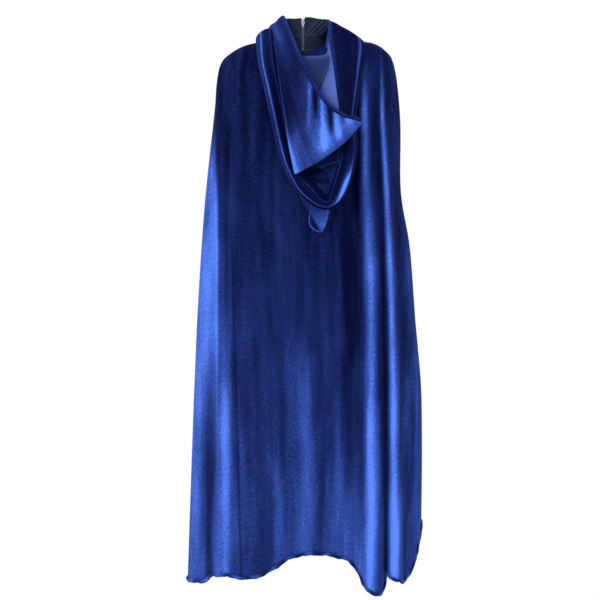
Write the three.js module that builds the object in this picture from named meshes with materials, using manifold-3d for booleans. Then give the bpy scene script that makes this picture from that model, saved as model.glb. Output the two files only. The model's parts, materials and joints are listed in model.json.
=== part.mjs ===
// A long hooded costume cape in stretch velvet, as it hangs by its shoulders.
// Millimetres, +Z up. The wearer faces +Y, so the back of the cape faces -Y and
// +X is the wearer's right. The origin is the middle of the neck seam's back,
// brought to the middle of the neck, level with the shoulders that carry the cape.
import * as THREE from "three";
import { mergeVertices } from "three/addons/utils/BufferGeometryUtils.js";
import Module from "manifold-3d";

// Driving dimensions of the body.
const BODY_LENGTH = 1290; // from the neck seam at the back to the lowest point of the hem
const SHOULDER_LEFT = 194; // half widths over the shoulders, from the zip to each tip
const SHOULDER_RIGHT = 214;
const HEM_LEFT = 278; // half widths at the widest, as the cape hangs
const HEM_RIGHT = 286;
const SHOULDER_DEPTH = 46; // half depth of the hanging body at the top and at the hem
const HEM_DEPTH = 80;
const FRONT_GAP_NECK = 20; // clear width between the two front edges
const FRONT_GAP_HEM = 120;
const SHOULDER_ROUND = 34; // drop over which the cloth turns down from the shoulder ridge
const VELVET = 3; // wall that stands for the body's velvet

// Driving dimensions of the neck.
const NECK_X = 56; // half axes of the collar's middle surface
const NECK_Y = 42;
const COLLAR_TOP = 79; // height of the collar's top edge above the neck seam
const BAND_HEIGHT = 27; // plain band between the neck seam and the collar
const COLLAR_WALL = 3;
const FACING_WALL = 1.6;
const SIDE_RISE = 32; // how far the neck seam rises from the centre back to the sides
const BINDING_WIDTH = 10;
const BINDING_WALL = 1.4;

// Driving dimensions of the hood.
const HOOD_DROP = 436; // from the neck seam to the point of the hanging hood
const HOOD_WALL = 2.4;
const LINING_WALL = 1.6;
const HOOD_STANDOFF = 8; // from the body's back surface to the middle of the hood's rear ply
const HOOD_NECK_SPREAD = 4; // how much further out the hood's front ends start than its back
const HOOD_PLY_GAP = 2; // between the hood's velvet and its lining
const CASING_WIDTH = 9;
const CASING_WALL = 1.2;
const ELASTIC_WIDTH = 5;
const ELASTIC_WALL = 1.2;

// Driving dimensions of the zip.
const TAPE_WIDTH = 11;
const TAPE_WALL = 0.5;
const TOOTH_PITCH = 2.4;
const TEETH_INNER = 0.6; // half the slot between the two rows, where the slider's post runs
const TEETH_OUTER = 2.1;
const TEETH_DEPTH = 2.2;
const SLIDER_WIDTH = 7.8;
const SLIDER_LENGTH = 9;
const SLIDER_WALL = 0.9;
const POST_WIDTH = 0.5;
const BRIDGE_LENGTH = 5;
const BRIDGE_RISE = 2.4;
const BRIDGE_WIDTH = 1.6;
const PULL_LENGTH = 10;
const PULL_WIDTH = 5.2;
const PULL_WALL = 0.8;
const STOP_HEIGHT = 2.4;

// Clearances.
const SEAM_GAP = 0.4; // between two pieces sewn edge to edge
const BODY_SEAM_GAP = 1.2; // between the body's thick walls at the shoulder and side seams
const PLY_GAP = 0.5; // between two plies that lie on each other
const RUN_GAP = 0.4; // around the sliding zip parts

const clamp = THREE.MathUtils.clamp;
const mix = THREE.MathUtils.lerp;
const smooth = (t) => THREE.MathUtils.smoothstep(t, 0, 1);

// A smooth curve through [position, value] pairs, flat beyond both ends.
function profile(points) {
  const slope = (i) => {
    const a = points[Math.max(i - 1, 0)];
    const b = points[Math.min(i + 1, points.length - 1)];
    return (b[1] - a[1]) / (b[0] - a[0]);
  };
  return (at) => {
    let i = 1;
    while (i < points.length - 1 && at > points[i][0]) i += 1;
    const [x0, y0] = points[i - 1];
    const [x1, y1] = points[i];
    const h = x1 - x0;
    const t = clamp((at - x0) / h, 0, 1);
    const s = smooth(t);
    const bend = t * (1 - t) * h;
    return mix(y0, y1, s) + bend * ((1 - t) * slope(i - 1) - t * slope(i));
  };
}

// The unit normal of a surface, read a little inside its border, where its edges are not pinched.
function normalOf(surface, u, v) {
  const step = 1e-3;
  const inset = 0.012;
  const a = clamp(u, inset, 1 - inset);
  const b = clamp(v, inset, 1 - inset);
  const along = surface(a + step, b).sub(surface(a - step, b));
  const downward = surface(a, b + step).sub(surface(a, b - step));
  return along.cross(downward).normalize();
}

// A closed solid of even thickness around a surface of two parameters from 0 to 1:
// a flat box is bent so that its length and height run along the surface.
function cloth(surface, across, down, thickness) {
  const box = new THREE.BoxGeometry(1, 1, 1, across, down, 1);
  box.deleteAttribute("normal");
  box.deleteAttribute("uv");
  const at = box.getAttribute("position");
  for (let i = 0; i < at.count; i += 1) {
    const u = at.getX(i) + 0.5;
    const v = at.getY(i) + 0.5;
    const place = surface(u, v).addScaledVector(normalOf(surface, u, v), at.getZ(i) * thickness);
    at.setXYZ(i, place.x, place.y, place.z);
  }
  return mergeVertices(box, 1e-4);
}

// The surface moved along its own normal.
function offset(surface, distance) {
  return (u, v) => surface(u, v).addScaledVector(normalOf(surface, u, v), distance);
}

// ---- Neck: an ellipse seen from above. angle 0 is the centre back, 180 degrees the front.
const neckSeamHeight = (angle) => SIDE_RISE * Math.sin(angle) ** 2 - 3 * (1 - Math.cos(angle));
function neckPoint(angle, outwards, height) {
  const x = (NECK_X + outwards) * Math.sin(angle);
  const y = -(NECK_Y + outwards) * Math.cos(angle);
  return new THREE.Vector3(x, y, height);
}

// ---- Body: a hanging tube of cloth that is open in front.
const leftFlare = profile([[0, 0], [0.1, 0.22], [0.27, 0.49], [0.46, 0.69], [0.65, 0.82], [1, 1]]);
const rightFlare = profile([
  [0, 0], [0.05, 0.17], [0.13, 0.29], [0.26, 0.31], [0.36, 0.6], [0.49, 0.78], [0.65, 1], [1, 0.96],
]);
const shareDown = (z) => clamp(-z / BODY_LENGTH, 0, 1);
const halfWidth = (side, z) =>
  side < 0
    ? mix(SHOULDER_LEFT, HEM_LEFT, leftFlare(shareDown(z)))
    : mix(SHOULDER_RIGHT, HEM_RIGHT, rightFlare(shareDown(z)));
const halfDepth = (z) => mix(SHOULDER_DEPTH, HEM_DEPTH, shareDown(z) ** 1.3);
const roundness = 3.2; // exponent of the hanging body's rounded plan
const planDepth = (c) => (1 - Math.min(Math.abs(c), 1) ** roundness) ** (1 / roundness);

// Heights of the shoulder ridge, by share of the way from the neck to the tip.
const neckEdgeDrop = 3.2; // the body's neck edge lies this far under the neck seam
const neckSide = neckSeamHeight(Math.PI / 2) - neckEdgeDrop;
const ridgeLeft = profile([[0, neckSide], [0.42, 25], [0.6, 20], [0.86, 0], [1, -24]]);
const ridgeRight = profile([[0, neckSide], [0.5, 29], [0.7, 25], [0.86, 14], [1, -14]]);

// How far the hem stands above its lowest point, by share of the half width.
const backHem = profile([
  [-1, 23], [-0.86, 25], [-0.74, 46], [-0.48, 38], [-0.3, 52], [-0.07, 90], [0.31, 88],
  [0.49, 50], [0.63, 4], [0.7, 22], [0.74, 48], [0.83, 30], [0.92, 50], [0.97, 116], [1, 160],
]);
const frontHem = profile([[-1, 23], [-0.9, 70], [-0.4, 112], [0, 108], [0.5, 118], [0.9, 135], [1, 160]]);

// Vertical folds of the back: place by share of the half width, width, height at top and hem.
const BACK_FOLDS = [
  { at: -0.86, width: 26, top: 2, hem: 14 },
  { at: -0.42, width: 60, top: 0, hem: 8 },
  { at: 0.06, width: 55, top: 0, hem: 9 },
  { at: 0.35, width: 34, top: 0, hem: 8 },
  { at: 0.64, width: 17, top: 8, hem: 34 },
  { at: 0.8, width: 17, top: 8, hem: 34 },
];
const FRONT_FOLDS = [
  { at: -0.72, width: 24, top: 3, hem: 18 },
  { at: -0.36, width: 24, top: 2, hem: 20 },
  { at: 0.42, width: 24, top: 2, hem: 20 },
  { at: 0.78, width: 24, top: 3, hem: 18 },
];
function foldRise(folds, c, z) {
  const x = c * halfWidth(c, z);
  const grown = smooth(shareDown(z) * 4);
  let rise = 0;
  for (const fold of folds) {
    const middle = fold.at * halfWidth(fold.at, z);
    const height = mix(fold.top, fold.hem, grown * mix(0.7, 1, shareDown(z)));
    rise += height * Math.exp(-(((x - middle) / fold.width) ** 2));
  }
  return rise;
}

// A point of the body's cloth: c runs from -1, the left side seam, to 1, the right one,
// and v from 0, at the neck and shoulder seams, to 1, at the hem. face is -1 at the back, 1 in front.
function bodyPoint(face, c, v) {
  const hem = face < 0 ? backHem : frontHem;
  const folds = face < 0 ? BACK_FOLDS : FRONT_FOLDS;
  const shoulder = c < 0 ? SHOULDER_LEFT : SHOULDER_RIGHT;
  const topX = Math.abs(c) * shoulder;
  const atNeck = topX < NECK_X;
  const angle = Math.asin(Math.min(topX / NECK_X, 1));
  const neckAngle = face < 0 ? angle : Math.PI - angle;
  const topY = atNeck ? face * NECK_Y * Math.cos(angle) : 0;
  const outFromNeck = (topX - NECK_X) / (shoulder - NECK_X);
  const ridge = c < 0 ? ridgeLeft : ridgeRight;
  const neckZ = neckSeamHeight(neckAngle) - neckEdgeDrop;
  const topZ = atNeck ? neckZ : ridge(clamp(outFromNeck, 0, 1));
  const z = mix(topZ, hem(c) - BODY_LENGTH, v ** 2);
  const drop = topZ - z;
  const turned = Math.sqrt(1 - (1 - Math.min(drop / SHOULDER_ROUND, 1)) ** 2);
  const settled = smooth(drop / 90);
  const ease = mix(turned, settled, atNeck ? Math.cos(angle) : 0);
  const body = halfDepth(z) * planDepth(c) + foldRise(folds, c, z) * planDepth(c) * settled;
  const y = mix(topY, face * body, ease) + (face * BODY_SEAM_GAP) / 2;
  return new THREE.Vector3(c * halfWidth(c, z), y, z);
}
const backAcross = (u) => Math.sin(Math.PI * (u - 0.5));
const backSurface = (u, v) => bodyPoint(-1, backAcross(u), v);
function frontSurface(side) {
  return (u, v) => {
    const gap = mix(FRONT_GAP_NECK, FRONT_GAP_HEM, v ** 2) / 2;
    const edge = gap / mix(SHOULDER_RIGHT, HEM_RIGHT, v ** 2);
    return bodyPoint(1, side * mix(1, edge, 1 - Math.cos((Math.PI / 2) * u)), v);
  };
}

// ---- Hood: two mirrored cuts sewn along the centre back and the crown, hanging inside out
// of sight of the face. p runs from the centre-back seam to the face edge, q from the neck
// seam to the crown seam. Each row below is one q, from the centre back to the face edge.
function behind(x, out, z) {
  const c = x / halfWidth(x, z);
  const back = (halfDepth(z) + foldRise(BACK_FOLDS, c, z)) * planDepth(c);
  return [x, -(back + HOOD_STANDOFF + out), z];
}
const drop = (share) => -share * HOOD_DROP;
const HOOD_LEFT_NET = [
  [[0, -46, 0], [-42, -34, 16], [-60, -6, 30], [-60, 16, 26], [-48, 28, 20]],
  [behind(0, -1, drop(0.09)), [-52, -55, 4], [-88, -46, 34], [-82, -12, 48], [-62, 14, 46]],
  [behind(4, 0, drop(0.28)), behind(-66, 6, drop(0.08)), [-112, -64, 4], [-94, -66, 38], [-72, -8, 70]],
  [behind(10, 2, drop(0.52)), behind(-52, 8, drop(0.28)), behind(-98, 26, drop(0.15)),
    [-84, -100, 0], [-50, -60, 77]],
  [behind(24, 4, drop(0.77)), behind(-24, 14, drop(0.54)), behind(-64, 44, drop(0.37)),
    behind(-14, 68, drop(0.2)), behind(34, 62, drop(0.1))],
  [behind(40, 12, drop(1)), behind(0, 34, drop(0.82)), behind(-24, 60, drop(0.68)),
    behind(52, 80, drop(0.55)), behind(130, 84, drop(0.43))],
];
const HOOD_RIGHT_NET = [
  [[0, -46, 0], [42, -34, 16], [60, -6, 30], [60, 16, 26], [48, 28, 20]],
  [behind(3, -1, drop(0.09)), [52, -55, 6], [90, -46, 34], [88, -12, 54], [64, 8, 50]],
  [behind(8, 0, drop(0.27)), behind(74, 6, drop(0.05)), [120, -64, 8], [112, -66, 42], [76, -34, 72]],
  [behind(16, 2, drop(0.5)), behind(88, 8, drop(0.2)), behind(136, 24, drop(0.1)),
    behind(126, 60, drop(0.06)), [88, -94, 12]],
  [behind(32, 4, drop(0.75)), behind(96, 10, drop(0.44)), behind(142, 32, drop(0.32)),
    behind(130, 60, drop(0.28)), behind(102, 60, drop(0.2))],
  [behind(46, 10, drop(0.99)), behind(84, 20, drop(0.76)), behind(112, 36, drop(0.62)),
    behind(128, 52, drop(0.5)), behind(104, 60, drop(0.44))],
];

// A smooth surface through the rows of a net.
function hoodSurface(net) {
  const curve = (points) =>
    new THREE.CatmullRomCurve3(points, false, "catmullrom", 0.5);
  const rows = net.map((row) => curve(row.map((place) => new THREE.Vector3(...place))));
  const side = Math.sign(net[0][1][0]);
  const reach = THREE.MathUtils.degToRad(118); // how far the hood goes round the neck seam
  const start = 0.03; // half the centre-back seam, as an angle
  return (p, q) => {
    const place = curve(rows.map((row) => row.getPoint(p))).getPoint(q);
    const angle = mix(start, reach, p);
    const out = (VELVET + HOOD_WALL) / 2 + 2 * PLY_GAP + HOOD_NECK_SPREAD * p * p;
    const seam = neckPoint(side * angle, out, neckSeamHeight(angle));
    const slip = seam.sub(rows[0].getPoint(p)).multiplyScalar((1 - q) ** 4);
    return place.add(slip);
  };
}
const hoodLeft = hoodSurface(HOOD_LEFT_NET);
const hoodRight = hoodSurface(HOOD_RIGHT_NET);
const liningOffset = HOOD_WALL / 2 + HOOD_PLY_GAP + LINING_WALL / 2;

// The face edge of one hood half, with the way out of the cloth and the way through it.
function faceEdge(surface, q) {
  const edge = surface(1, q);
  const outward = edge.clone().sub(surface(0.98, q)).normalize();
  const along = surface(1, Math.min(q + 0.01, 1)).sub(surface(1, Math.max(q - 0.01, 0)));
  const through = outward.clone().cross(along).normalize();
  return { edge, outward, through };
}
// The casing is a strip folded over the face edge; fold runs from the outside ply to the inside.
function casingSurface(surface, inward) {
  const middle = (inward * liningOffset) / 2;
  const half = ELASTIC_WALL / 2 + 2.6 * PLY_GAP + CASING_WALL / 2;
  return (u, v) => {
    const { edge, outward, through } = faceEdge(surface, mix(0.04, 0.94, u));
    const turn = clamp((v - 0.35) / 0.3, 0, 1) * Math.PI;
    const flat = CASING_WIDTH - CASING_WALL / 2 - half;
    const straight = v < 0.35 ? v / 0.35 : clamp((1 - v) / 0.35, 0, 1);
    const out = 3 * SEAM_GAP + flat * straight + half * Math.sin(turn);
    const side = middle + half * Math.cos(turn);
    return edge.addScaledVector(outward, out).addScaledVector(through, side);
  };
}
function elasticSurface(surface, inward) {
  const middle = (inward * liningOffset) / 2;
  return (u, v) => {
    const { edge, outward, through } = faceEdge(surface, mix(0.05, 0.93, u));
    const out = 3 * SEAM_GAP + 0.8 + ELASTIC_WIDTH * v;
    return edge.addScaledVector(outward, out).addScaledVector(through, middle);
  };
}

// ---- Collar: strips that run from one side of the zip, round the front, to the other side.
const openingHalf = SLIDER_WIDTH / 2 + RUN_GAP + 0.3; // from the zip's middle to the collar's edge
function strip(outwards, low, high, endX) {
  const from = Math.asin(endX / NECK_X);
  return (u, v) => {
    const angle = mix(from, 2 * Math.PI - from, 1 - u);
    return neckPoint(angle, outwards, mix(high(angle), low(angle), v));
  };
}
const collarHeight = (angle) => COLLAR_TOP - 4 * (1 - Math.cos(angle)) / 2;
const bandTop = (angle) => 0.6 * neckSeamHeight(angle) + BAND_HEIGHT;
const facingOffset = -(COLLAR_WALL / 2 + TAPE_WALL + 2 * 0.3 + FACING_WALL / 2);
const seat = 0.4; // height of the collar's lower edge above the body's neck edge
const neckBand = strip(0, (a) => neckSeamHeight(a) + seat, bandTop, openingHalf);
const collarOuter = strip(0, (a) => bandTop(a) + SEAM_GAP, collarHeight, openingHalf);
const collarFacing = strip(
  facingOffset, (a) => neckSeamHeight(a) + seat, (a) => collarHeight(a) - 1, openingHalf);

// The binding covers the hood's neck edge across the back, inside the hood.
function bindingSurface(u, v) {
  const away = liningOffset + LINING_WALL / 2 + 2 * PLY_GAP + BINDING_WALL / 2;
  const left = u < 0.5;
  const cut = left ? offset(hoodLeft, away) : offset(hoodRight, -away);
  return cut(Math.abs(1 - 2 * u) * 0.42, 0.004 + ((2 * BINDING_WIDTH) / HOOD_DROP) * v);
}

// ---- Zip: straight, at the centre back, between the collar and its facing.
const zipY = -NECK_Y + COLLAR_WALL / 2 + 0.3 + TAPE_WALL / 2;
const zipBottom = seat + 0.6;
const zipTop = COLLAR_TOP - 2.5;
function tapeSurface(side) {
  const near = TEETH_OUTER + 0.3;
  return (u, v) => {
    const x = side * mix(near, near + TAPE_WIDTH, u);
    const forward = NECK_Y * (1 - Math.sqrt(1 - (x / NECK_X) ** 2)); // follows the collar round
    return new THREE.Vector3(x, zipY + forward, mix(zipTop, zipBottom, v));
  };
}
// One row of teeth, a comb outline in the XZ plane.
function teethRow(side) {
  const low = zipBottom + STOP_HEIGHT + 0.3;
  const high = zipTop - STOP_HEIGHT - 0.3;
  const count = Math.floor((high - low) / TOOTH_PITCH);
  const pitch = (high - low) / count;
  const spine = TEETH_OUTER - 0.6;
  const outline = new THREE.Shape();
  outline.moveTo(TEETH_OUTER, low);
  outline.lineTo(TEETH_OUTER, high);
  outline.lineTo(spine, high);
  for (let i = count - 1; i >= 0; i -= 1) {
    const base = low + i * pitch;
    outline.lineTo(spine, base + pitch * 0.8);
    outline.lineTo(TEETH_INNER, base + pitch * 0.7);
    outline.lineTo(TEETH_INNER, base + pitch * 0.3);
    outline.lineTo(spine, base + pitch * 0.2);
  }
  outline.lineTo(spine, low);
  outline.closePath();
  const row = new THREE.ExtrudeGeometry(outline, { depth: TEETH_DEPTH, bevelEnabled: false });
  row.rotateX(Math.PI / 2);
  row.translate(0, zipY + TEETH_DEPTH / 2, 0);
  if (side < 0) row.rotateZ(Math.PI).translate(0, 2 * zipY, 0);
  return row;
}
function topStop(side) {
  const width = TEETH_OUTER - TEETH_INNER;
  const stop = new THREE.BoxGeometry(width, TEETH_DEPTH, STOP_HEIGHT);
  return stop.translate((side * (TEETH_OUTER + TEETH_INNER)) / 2, zipY, zipTop - STOP_HEIGHT / 2);
}
function bottomStop() {
  const stop = new THREE.BoxGeometry(2 * TEETH_OUTER, TEETH_DEPTH, STOP_HEIGHT);
  return stop.translate(0, zipY, zipBottom + STOP_HEIGHT / 2);
}

const sliderZ = zipTop - STOP_HEIGHT - 1.5 - SLIDER_LENGTH / 2;
const wingInner = TEETH_DEPTH / 2 + RUN_GAP; // from the zip's middle plane to each wing
const sliderFront = zipY - wingInner - SLIDER_WALL; // the outside wing's outer face
const pivotY = sliderFront - PULL_WALL / 2 - RUN_GAP;

const wasm = await Module();
wasm.setup();
function solid(geometry) {
  const bare = geometry.index ? geometry.toNonIndexed() : geometry.clone();
  bare.deleteAttribute("normal");
  bare.deleteAttribute("uv");
  const merged = mergeVertices(bare, 1e-4);
  return new wasm.Manifold(new wasm.Mesh({
    numProp: 3,
    vertProperties: merged.getAttribute("position").array,
    triVerts: new Uint32Array(merged.index.array),
  }));
}
function geometryOf(manifold) {
  const mesh = manifold.getMesh();
  const geometry = new THREE.BufferGeometry();
  geometry.setAttribute("position", new THREE.BufferAttribute(mesh.vertProperties, 3));
  geometry.setIndex(new THREE.BufferAttribute(mesh.triVerts, 1));
  return geometry;
}

// Slider body: two wings joined by a post, with lips that close on the tapes,
// and a bridge on the outside wing that holds the pull.
function sliderBody() {
  const half = SLIDER_WIDTH / 2;
  const outer = wingInner + SLIDER_WALL;
  const lip = TAPE_WALL / 2 + RUN_GAP;
  const lipX = half - 0.7;
  const post = POST_WIDTH / 2;
  const section = new THREE.Shape();
  section.moveTo(-half, -outer);
  const corners = [
    [half, -outer], [half, -lip], [lipX, -lip], [lipX, -wingInner], [post, -wingInner],
    [post, wingInner], [lipX, wingInner], [lipX, lip], [half, lip], [half, outer],
    [-half, outer], [-half, lip], [-lipX, lip], [-lipX, wingInner], [-post, wingInner],
    [-post, -wingInner], [-lipX, -wingInner], [-lipX, -lip], [-half, -lip],
  ];
  for (const [x, y] of corners) section.lineTo(x, y);
  section.closePath();
  const body = new THREE.ExtrudeGeometry(section, { depth: SLIDER_LENGTH, bevelEnabled: false });
  body.translate(0, zipY, sliderZ - SLIDER_LENGTH / 2);

  const reach = BRIDGE_LENGTH / 2;
  const bar = 0.8;
  const rise = BRIDGE_RISE;
  const arch = new THREE.Shape();
  arch.moveTo(-reach, 0.3);
  arch.lineTo(-reach, -rise);
  arch.lineTo(reach, -rise);
  arch.lineTo(reach, 0.3);
  arch.lineTo(reach - bar, 0.3);
  arch.lineTo(reach - bar, -rise + bar);
  arch.lineTo(-reach + bar, -rise + bar);
  arch.lineTo(-reach + bar, 0.3);
  arch.closePath();
  const bridge = new THREE.ExtrudeGeometry(arch, { depth: BRIDGE_WIDTH, bevelEnabled: false });
  bridge.translate(0, 0, -BRIDGE_WIDTH / 2);
  bridge.rotateY(-Math.PI / 2);
  bridge.translate(0, sliderFront, sliderZ);
  return geometryOf(solid(body).add(solid(bridge)));
}

// Pull tab: a crossbar under the bridge, two side bars and a rounded grip that hangs down.
function pullTab() {
  const half = PULL_WIDTH / 2;
  const window = BRIDGE_WIDTH / 2 + RUN_GAP;
  const clear = Math.hypot(BRIDGE_LENGTH / 2, BRIDGE_RISE) + RUN_GAP;
  const tip = PULL_LENGTH - half;
  const outline = new THREE.Shape();
  outline.moveTo(-half + 0.6, 0.4);
  outline.lineTo(half - 0.6, 0.4);
  outline.lineTo(half - 0.6, -clear - 0.7);
  outline.lineTo(half, -clear - 1.6);
  outline.absarc(0, -tip, half, 0, -Math.PI, true);
  outline.lineTo(-half, -clear - 1.6);
  outline.lineTo(-half + 0.6, -clear - 0.7);
  outline.closePath();
  const eye = new THREE.Path();
  eye.moveTo(-window, -0.4);
  eye.lineTo(-window, -clear);
  eye.lineTo(window, -clear);
  eye.lineTo(window, -0.4);
  eye.closePath();
  outline.holes.push(eye);
  const tab = new THREE.ExtrudeGeometry(outline, {
    depth: PULL_WALL, bevelEnabled: false, curveSegments: 8,
  });
  tab.translate(0, 0, -PULL_WALL / 2);
  tab.rotateX(Math.PI / 2);
  return tab.translate(0, pivotY, sliderZ);
}

// ---- The assembly.
const cape = new THREE.Group();
function add(name, geometry, color, roughness, metalness) {
  const material = new THREE.MeshStandardMaterial({ color, roughness, metalness });
  const mesh = new THREE.Mesh(geometry, material);
  mesh.name = name;
  cape.add(mesh);
}
const VELVET_BLUE = 0x16266e;
const LINING_BLUE = 0x5a74c4;
const JERSEY = 0x232c45;
const METAL = 0xb9bcc4;

add("cape_back_panel", cloth(backSurface, 48, 14, VELVET), VELVET_BLUE, 0.8, 0);
add("cape_front_left_panel", cloth(frontSurface(-1), 16, 14, VELVET), VELVET_BLUE, 0.8, 0);
add("cape_front_right_panel", cloth(frontSurface(1), 16, 14, VELVET), VELVET_BLUE, 0.8, 0);
add("hood_outer_left", cloth(hoodLeft, 18, 12, HOOD_WALL), VELVET_BLUE, 0.8, 0);
add("hood_outer_right", cloth(hoodRight, 18, 12, HOOD_WALL), VELVET_BLUE, 0.8, 0);
add("hood_lining_left", cloth(offset(hoodLeft, liningOffset), 18, 12, LINING_WALL), LINING_BLUE, 0.6, 0);
add("hood_lining_right", cloth(offset(hoodRight, -liningOffset), 18, 12, LINING_WALL), LINING_BLUE, 0.6, 0);
add("hood_edge_casing_left", cloth(casingSurface(hoodLeft, 1), 20, 6, CASING_WALL), VELVET_BLUE, 0.8, 0);
add("hood_edge_casing_right", cloth(casingSurface(hoodRight, -1), 20, 6, CASING_WALL), VELVET_BLUE, 0.8, 0);
add("hood_edge_elastic_left", cloth(elasticSurface(hoodLeft, 1), 20, 1, ELASTIC_WALL), 0xdddddd, 0.7, 0);
add("hood_edge_elastic_right", cloth(elasticSurface(hoodRight, -1), 20, 1, ELASTIC_WALL), 0xdddddd, 0.7, 0);
add("neck_binding", cloth(bindingSurface, 28, 1, BINDING_WALL), JERSEY, 0.9, 0);
add("neck_band", cloth(neckBand, 40, 1, COLLAR_WALL), JERSEY, 0.9, 0);
add("collar_outer", cloth(collarOuter, 40, 1, COLLAR_WALL), JERSEY, 0.9, 0);
add("collar_facing", cloth(collarFacing, 40, 1, FACING_WALL), JERSEY, 0.9, 0);
for (const [side, hand] of [[-1, "left"], [1, "right"]]) {
  add(`zip_tape_${hand}`, cloth(tapeSurface(side), 4, 1, TAPE_WALL), 0x1d2538, 0.9, 0);
  add(`zip_teeth_${hand}`, teethRow(side), 0x2a3044, 0.5, 0);
  add(`zip_top_stop_${hand}`, topStop(side), METAL, 0.35, 1);
}
add("zip_bottom_stop", bottomStop(), METAL, 0.35, 1);
add("zip_slider", sliderBody(), METAL, 0.3, 1);
add("zip_pull_tab", pullTab(), METAL, 0.3, 1);

export default cape;
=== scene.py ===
"""Long hooded cape in blue stretch velvet, hanging from its shoulders.

The body, the collar and its band lie on the same surfaces as the CAD solids, worked out again
here on finer grids. The hood is laid over the back in the folds in which it hangs.
Shapes are worked out in millimetres and put into the meshes in metres. +Z is up, the wearer
faces +Y, and the back of the cape faces -Y.
"""
import json
import math

import bmesh
import bpy
import numpy as np
from bpy.props import FloatProperty, FloatVectorProperty, PointerProperty
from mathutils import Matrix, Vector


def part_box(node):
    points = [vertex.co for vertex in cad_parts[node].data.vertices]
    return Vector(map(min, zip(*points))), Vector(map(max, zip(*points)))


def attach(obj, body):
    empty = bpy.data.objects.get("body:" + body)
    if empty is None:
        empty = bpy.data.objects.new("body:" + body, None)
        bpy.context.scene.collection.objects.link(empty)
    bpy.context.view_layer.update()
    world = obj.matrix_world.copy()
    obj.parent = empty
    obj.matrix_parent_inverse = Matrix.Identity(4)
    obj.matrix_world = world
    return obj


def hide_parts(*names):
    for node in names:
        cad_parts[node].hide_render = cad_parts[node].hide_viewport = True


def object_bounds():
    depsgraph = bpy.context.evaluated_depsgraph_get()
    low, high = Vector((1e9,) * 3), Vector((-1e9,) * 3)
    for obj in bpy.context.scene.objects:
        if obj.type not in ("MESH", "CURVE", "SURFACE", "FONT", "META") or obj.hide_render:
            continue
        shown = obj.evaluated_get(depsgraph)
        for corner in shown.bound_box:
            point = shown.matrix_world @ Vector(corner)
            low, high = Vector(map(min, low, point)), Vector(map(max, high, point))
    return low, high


bl_info = {
    "name": "Hooded velvet cape",
    "version": (1, 0, 0),
    "blender": (4, 5, 0),
    "location": "3D View > Sidebar > Cape",
    "description": "Builds the cloth, trims and finishes of a long hooded cape on its CAD frame",
    "category": "Object",
}

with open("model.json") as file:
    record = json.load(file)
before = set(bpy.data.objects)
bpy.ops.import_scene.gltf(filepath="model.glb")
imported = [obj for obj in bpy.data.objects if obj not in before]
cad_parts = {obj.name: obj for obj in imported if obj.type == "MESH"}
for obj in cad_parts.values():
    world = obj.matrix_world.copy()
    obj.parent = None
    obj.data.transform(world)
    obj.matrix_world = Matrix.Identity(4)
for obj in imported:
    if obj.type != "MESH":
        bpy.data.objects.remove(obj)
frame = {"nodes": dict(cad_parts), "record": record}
CAD_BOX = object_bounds()
MM = 0.001


def node_box(node):
    """Lowest and highest corners of a CAD node, in millimetres."""
    low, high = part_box(node)
    return np.array(low) / MM, np.array(high) / MM


BACK_LOW, BACK_HIGH = node_box("cape_back_panel")
COLLAR_LOW, COLLAR_HIGH = node_box("collar_outer")
COLLAR_WALL = 3.0  # wall of the CAD's collar, whose middle the collar's cloth follows
BODY_LENGTH = 7.0 - BACK_LOW[2]  # the solid back's lowest point stands 7 mm above it
HEM_LEFT = -BACK_LOW[0] - 0.7
HEM_RIGHT = BACK_HIGH[0] - 2.4
SHOULDER_SHARE_LEFT = 194 / 278
SHOULDER_SHARE_RIGHT = 214 / 286
NECK_X = COLLAR_HIGH[0] - COLLAR_WALL / 2
NECK_Y = -COLLAR_LOW[1] - COLLAR_WALL / 2
ROW_POWER = 1.6  # rows of the body lie closer near the shoulders: share of length is v to this power
FOLD_LEVEL = 0.86  # level, as such a v, at which the body's columns are evenly spread along the folds
FINE_STEPS = 1600  # points of the line along which they are spread
HEM_POINTS = 420  # points along a hem roll
STITCH_SHARE = 0.994  # level of the back hem's stitching


# ---- Numbers and curves.
def smooth(t):
    t = np.clip(t, 0, 1)
    return t * t * (3 - 2 * t)


def mix(a, b, t):
    return a + (b - a) * t


def bell(x, middle, width):
    return np.exp(-(((x - middle) / width) ** 2))


def profile(at, *points):
    """A smooth curve through (position, value) pairs: cubic pieces whose slopes are those of
    the chords between each point's two neighbours, flat beyond both ends."""
    x, y = np.array(points, float).T
    last = len(x) - 1
    low, high = np.maximum(np.arange(last + 1) - 1, 0), np.minimum(np.arange(last + 1) + 1, last)
    slope = (y[high] - y[low]) / (x[high] - x[low])
    i = np.clip(np.searchsorted(x, at, side="right") - 1, 0, last - 1)
    h = x[i + 1] - x[i]
    t = np.clip((at - x[i]) / h, 0, 1)
    return mix(y[i], y[i + 1], smooth(t)) + t * (1 - t) * h * ((1 - t) * slope[i] - t * slope[i + 1])


def spline_weights(count, t):
    """The share that each of `count` evenly spaced control points has in a smooth curve at
    each t from 0 to 1: cubic pieces that pass through their points."""
    s = np.clip(t, 0, 1) * (count - 1)
    i = np.minimum(s.astype(int), count - 2)
    f = s - i
    shares = (
        (-f + 2 * f**2 - f**3) / 2,
        (2 - 5 * f**2 + 3 * f**3) / 2,
        (f + 4 * f**2 - 3 * f**3) / 2,
        (f**3 - f**2) / 2,
    )
    weights = np.zeros((len(t), count))
    for k, share in enumerate(shares):
        np.add.at(weights, (np.arange(len(t)), np.clip(i + k - 1, 0, count - 1)), share)
    return weights


def net(rows, down, across):
    """A smooth surface through a net of control points: rows x columns x 3 becomes
    len(down) x len(across) x 3."""
    rows = np.asarray(rows, float)
    a = spline_weights(rows.shape[0], down)
    b = spline_weights(rows.shape[1], across)
    return np.einsum("ir,rcx,jc->ijx", a, rows, b)


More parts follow.
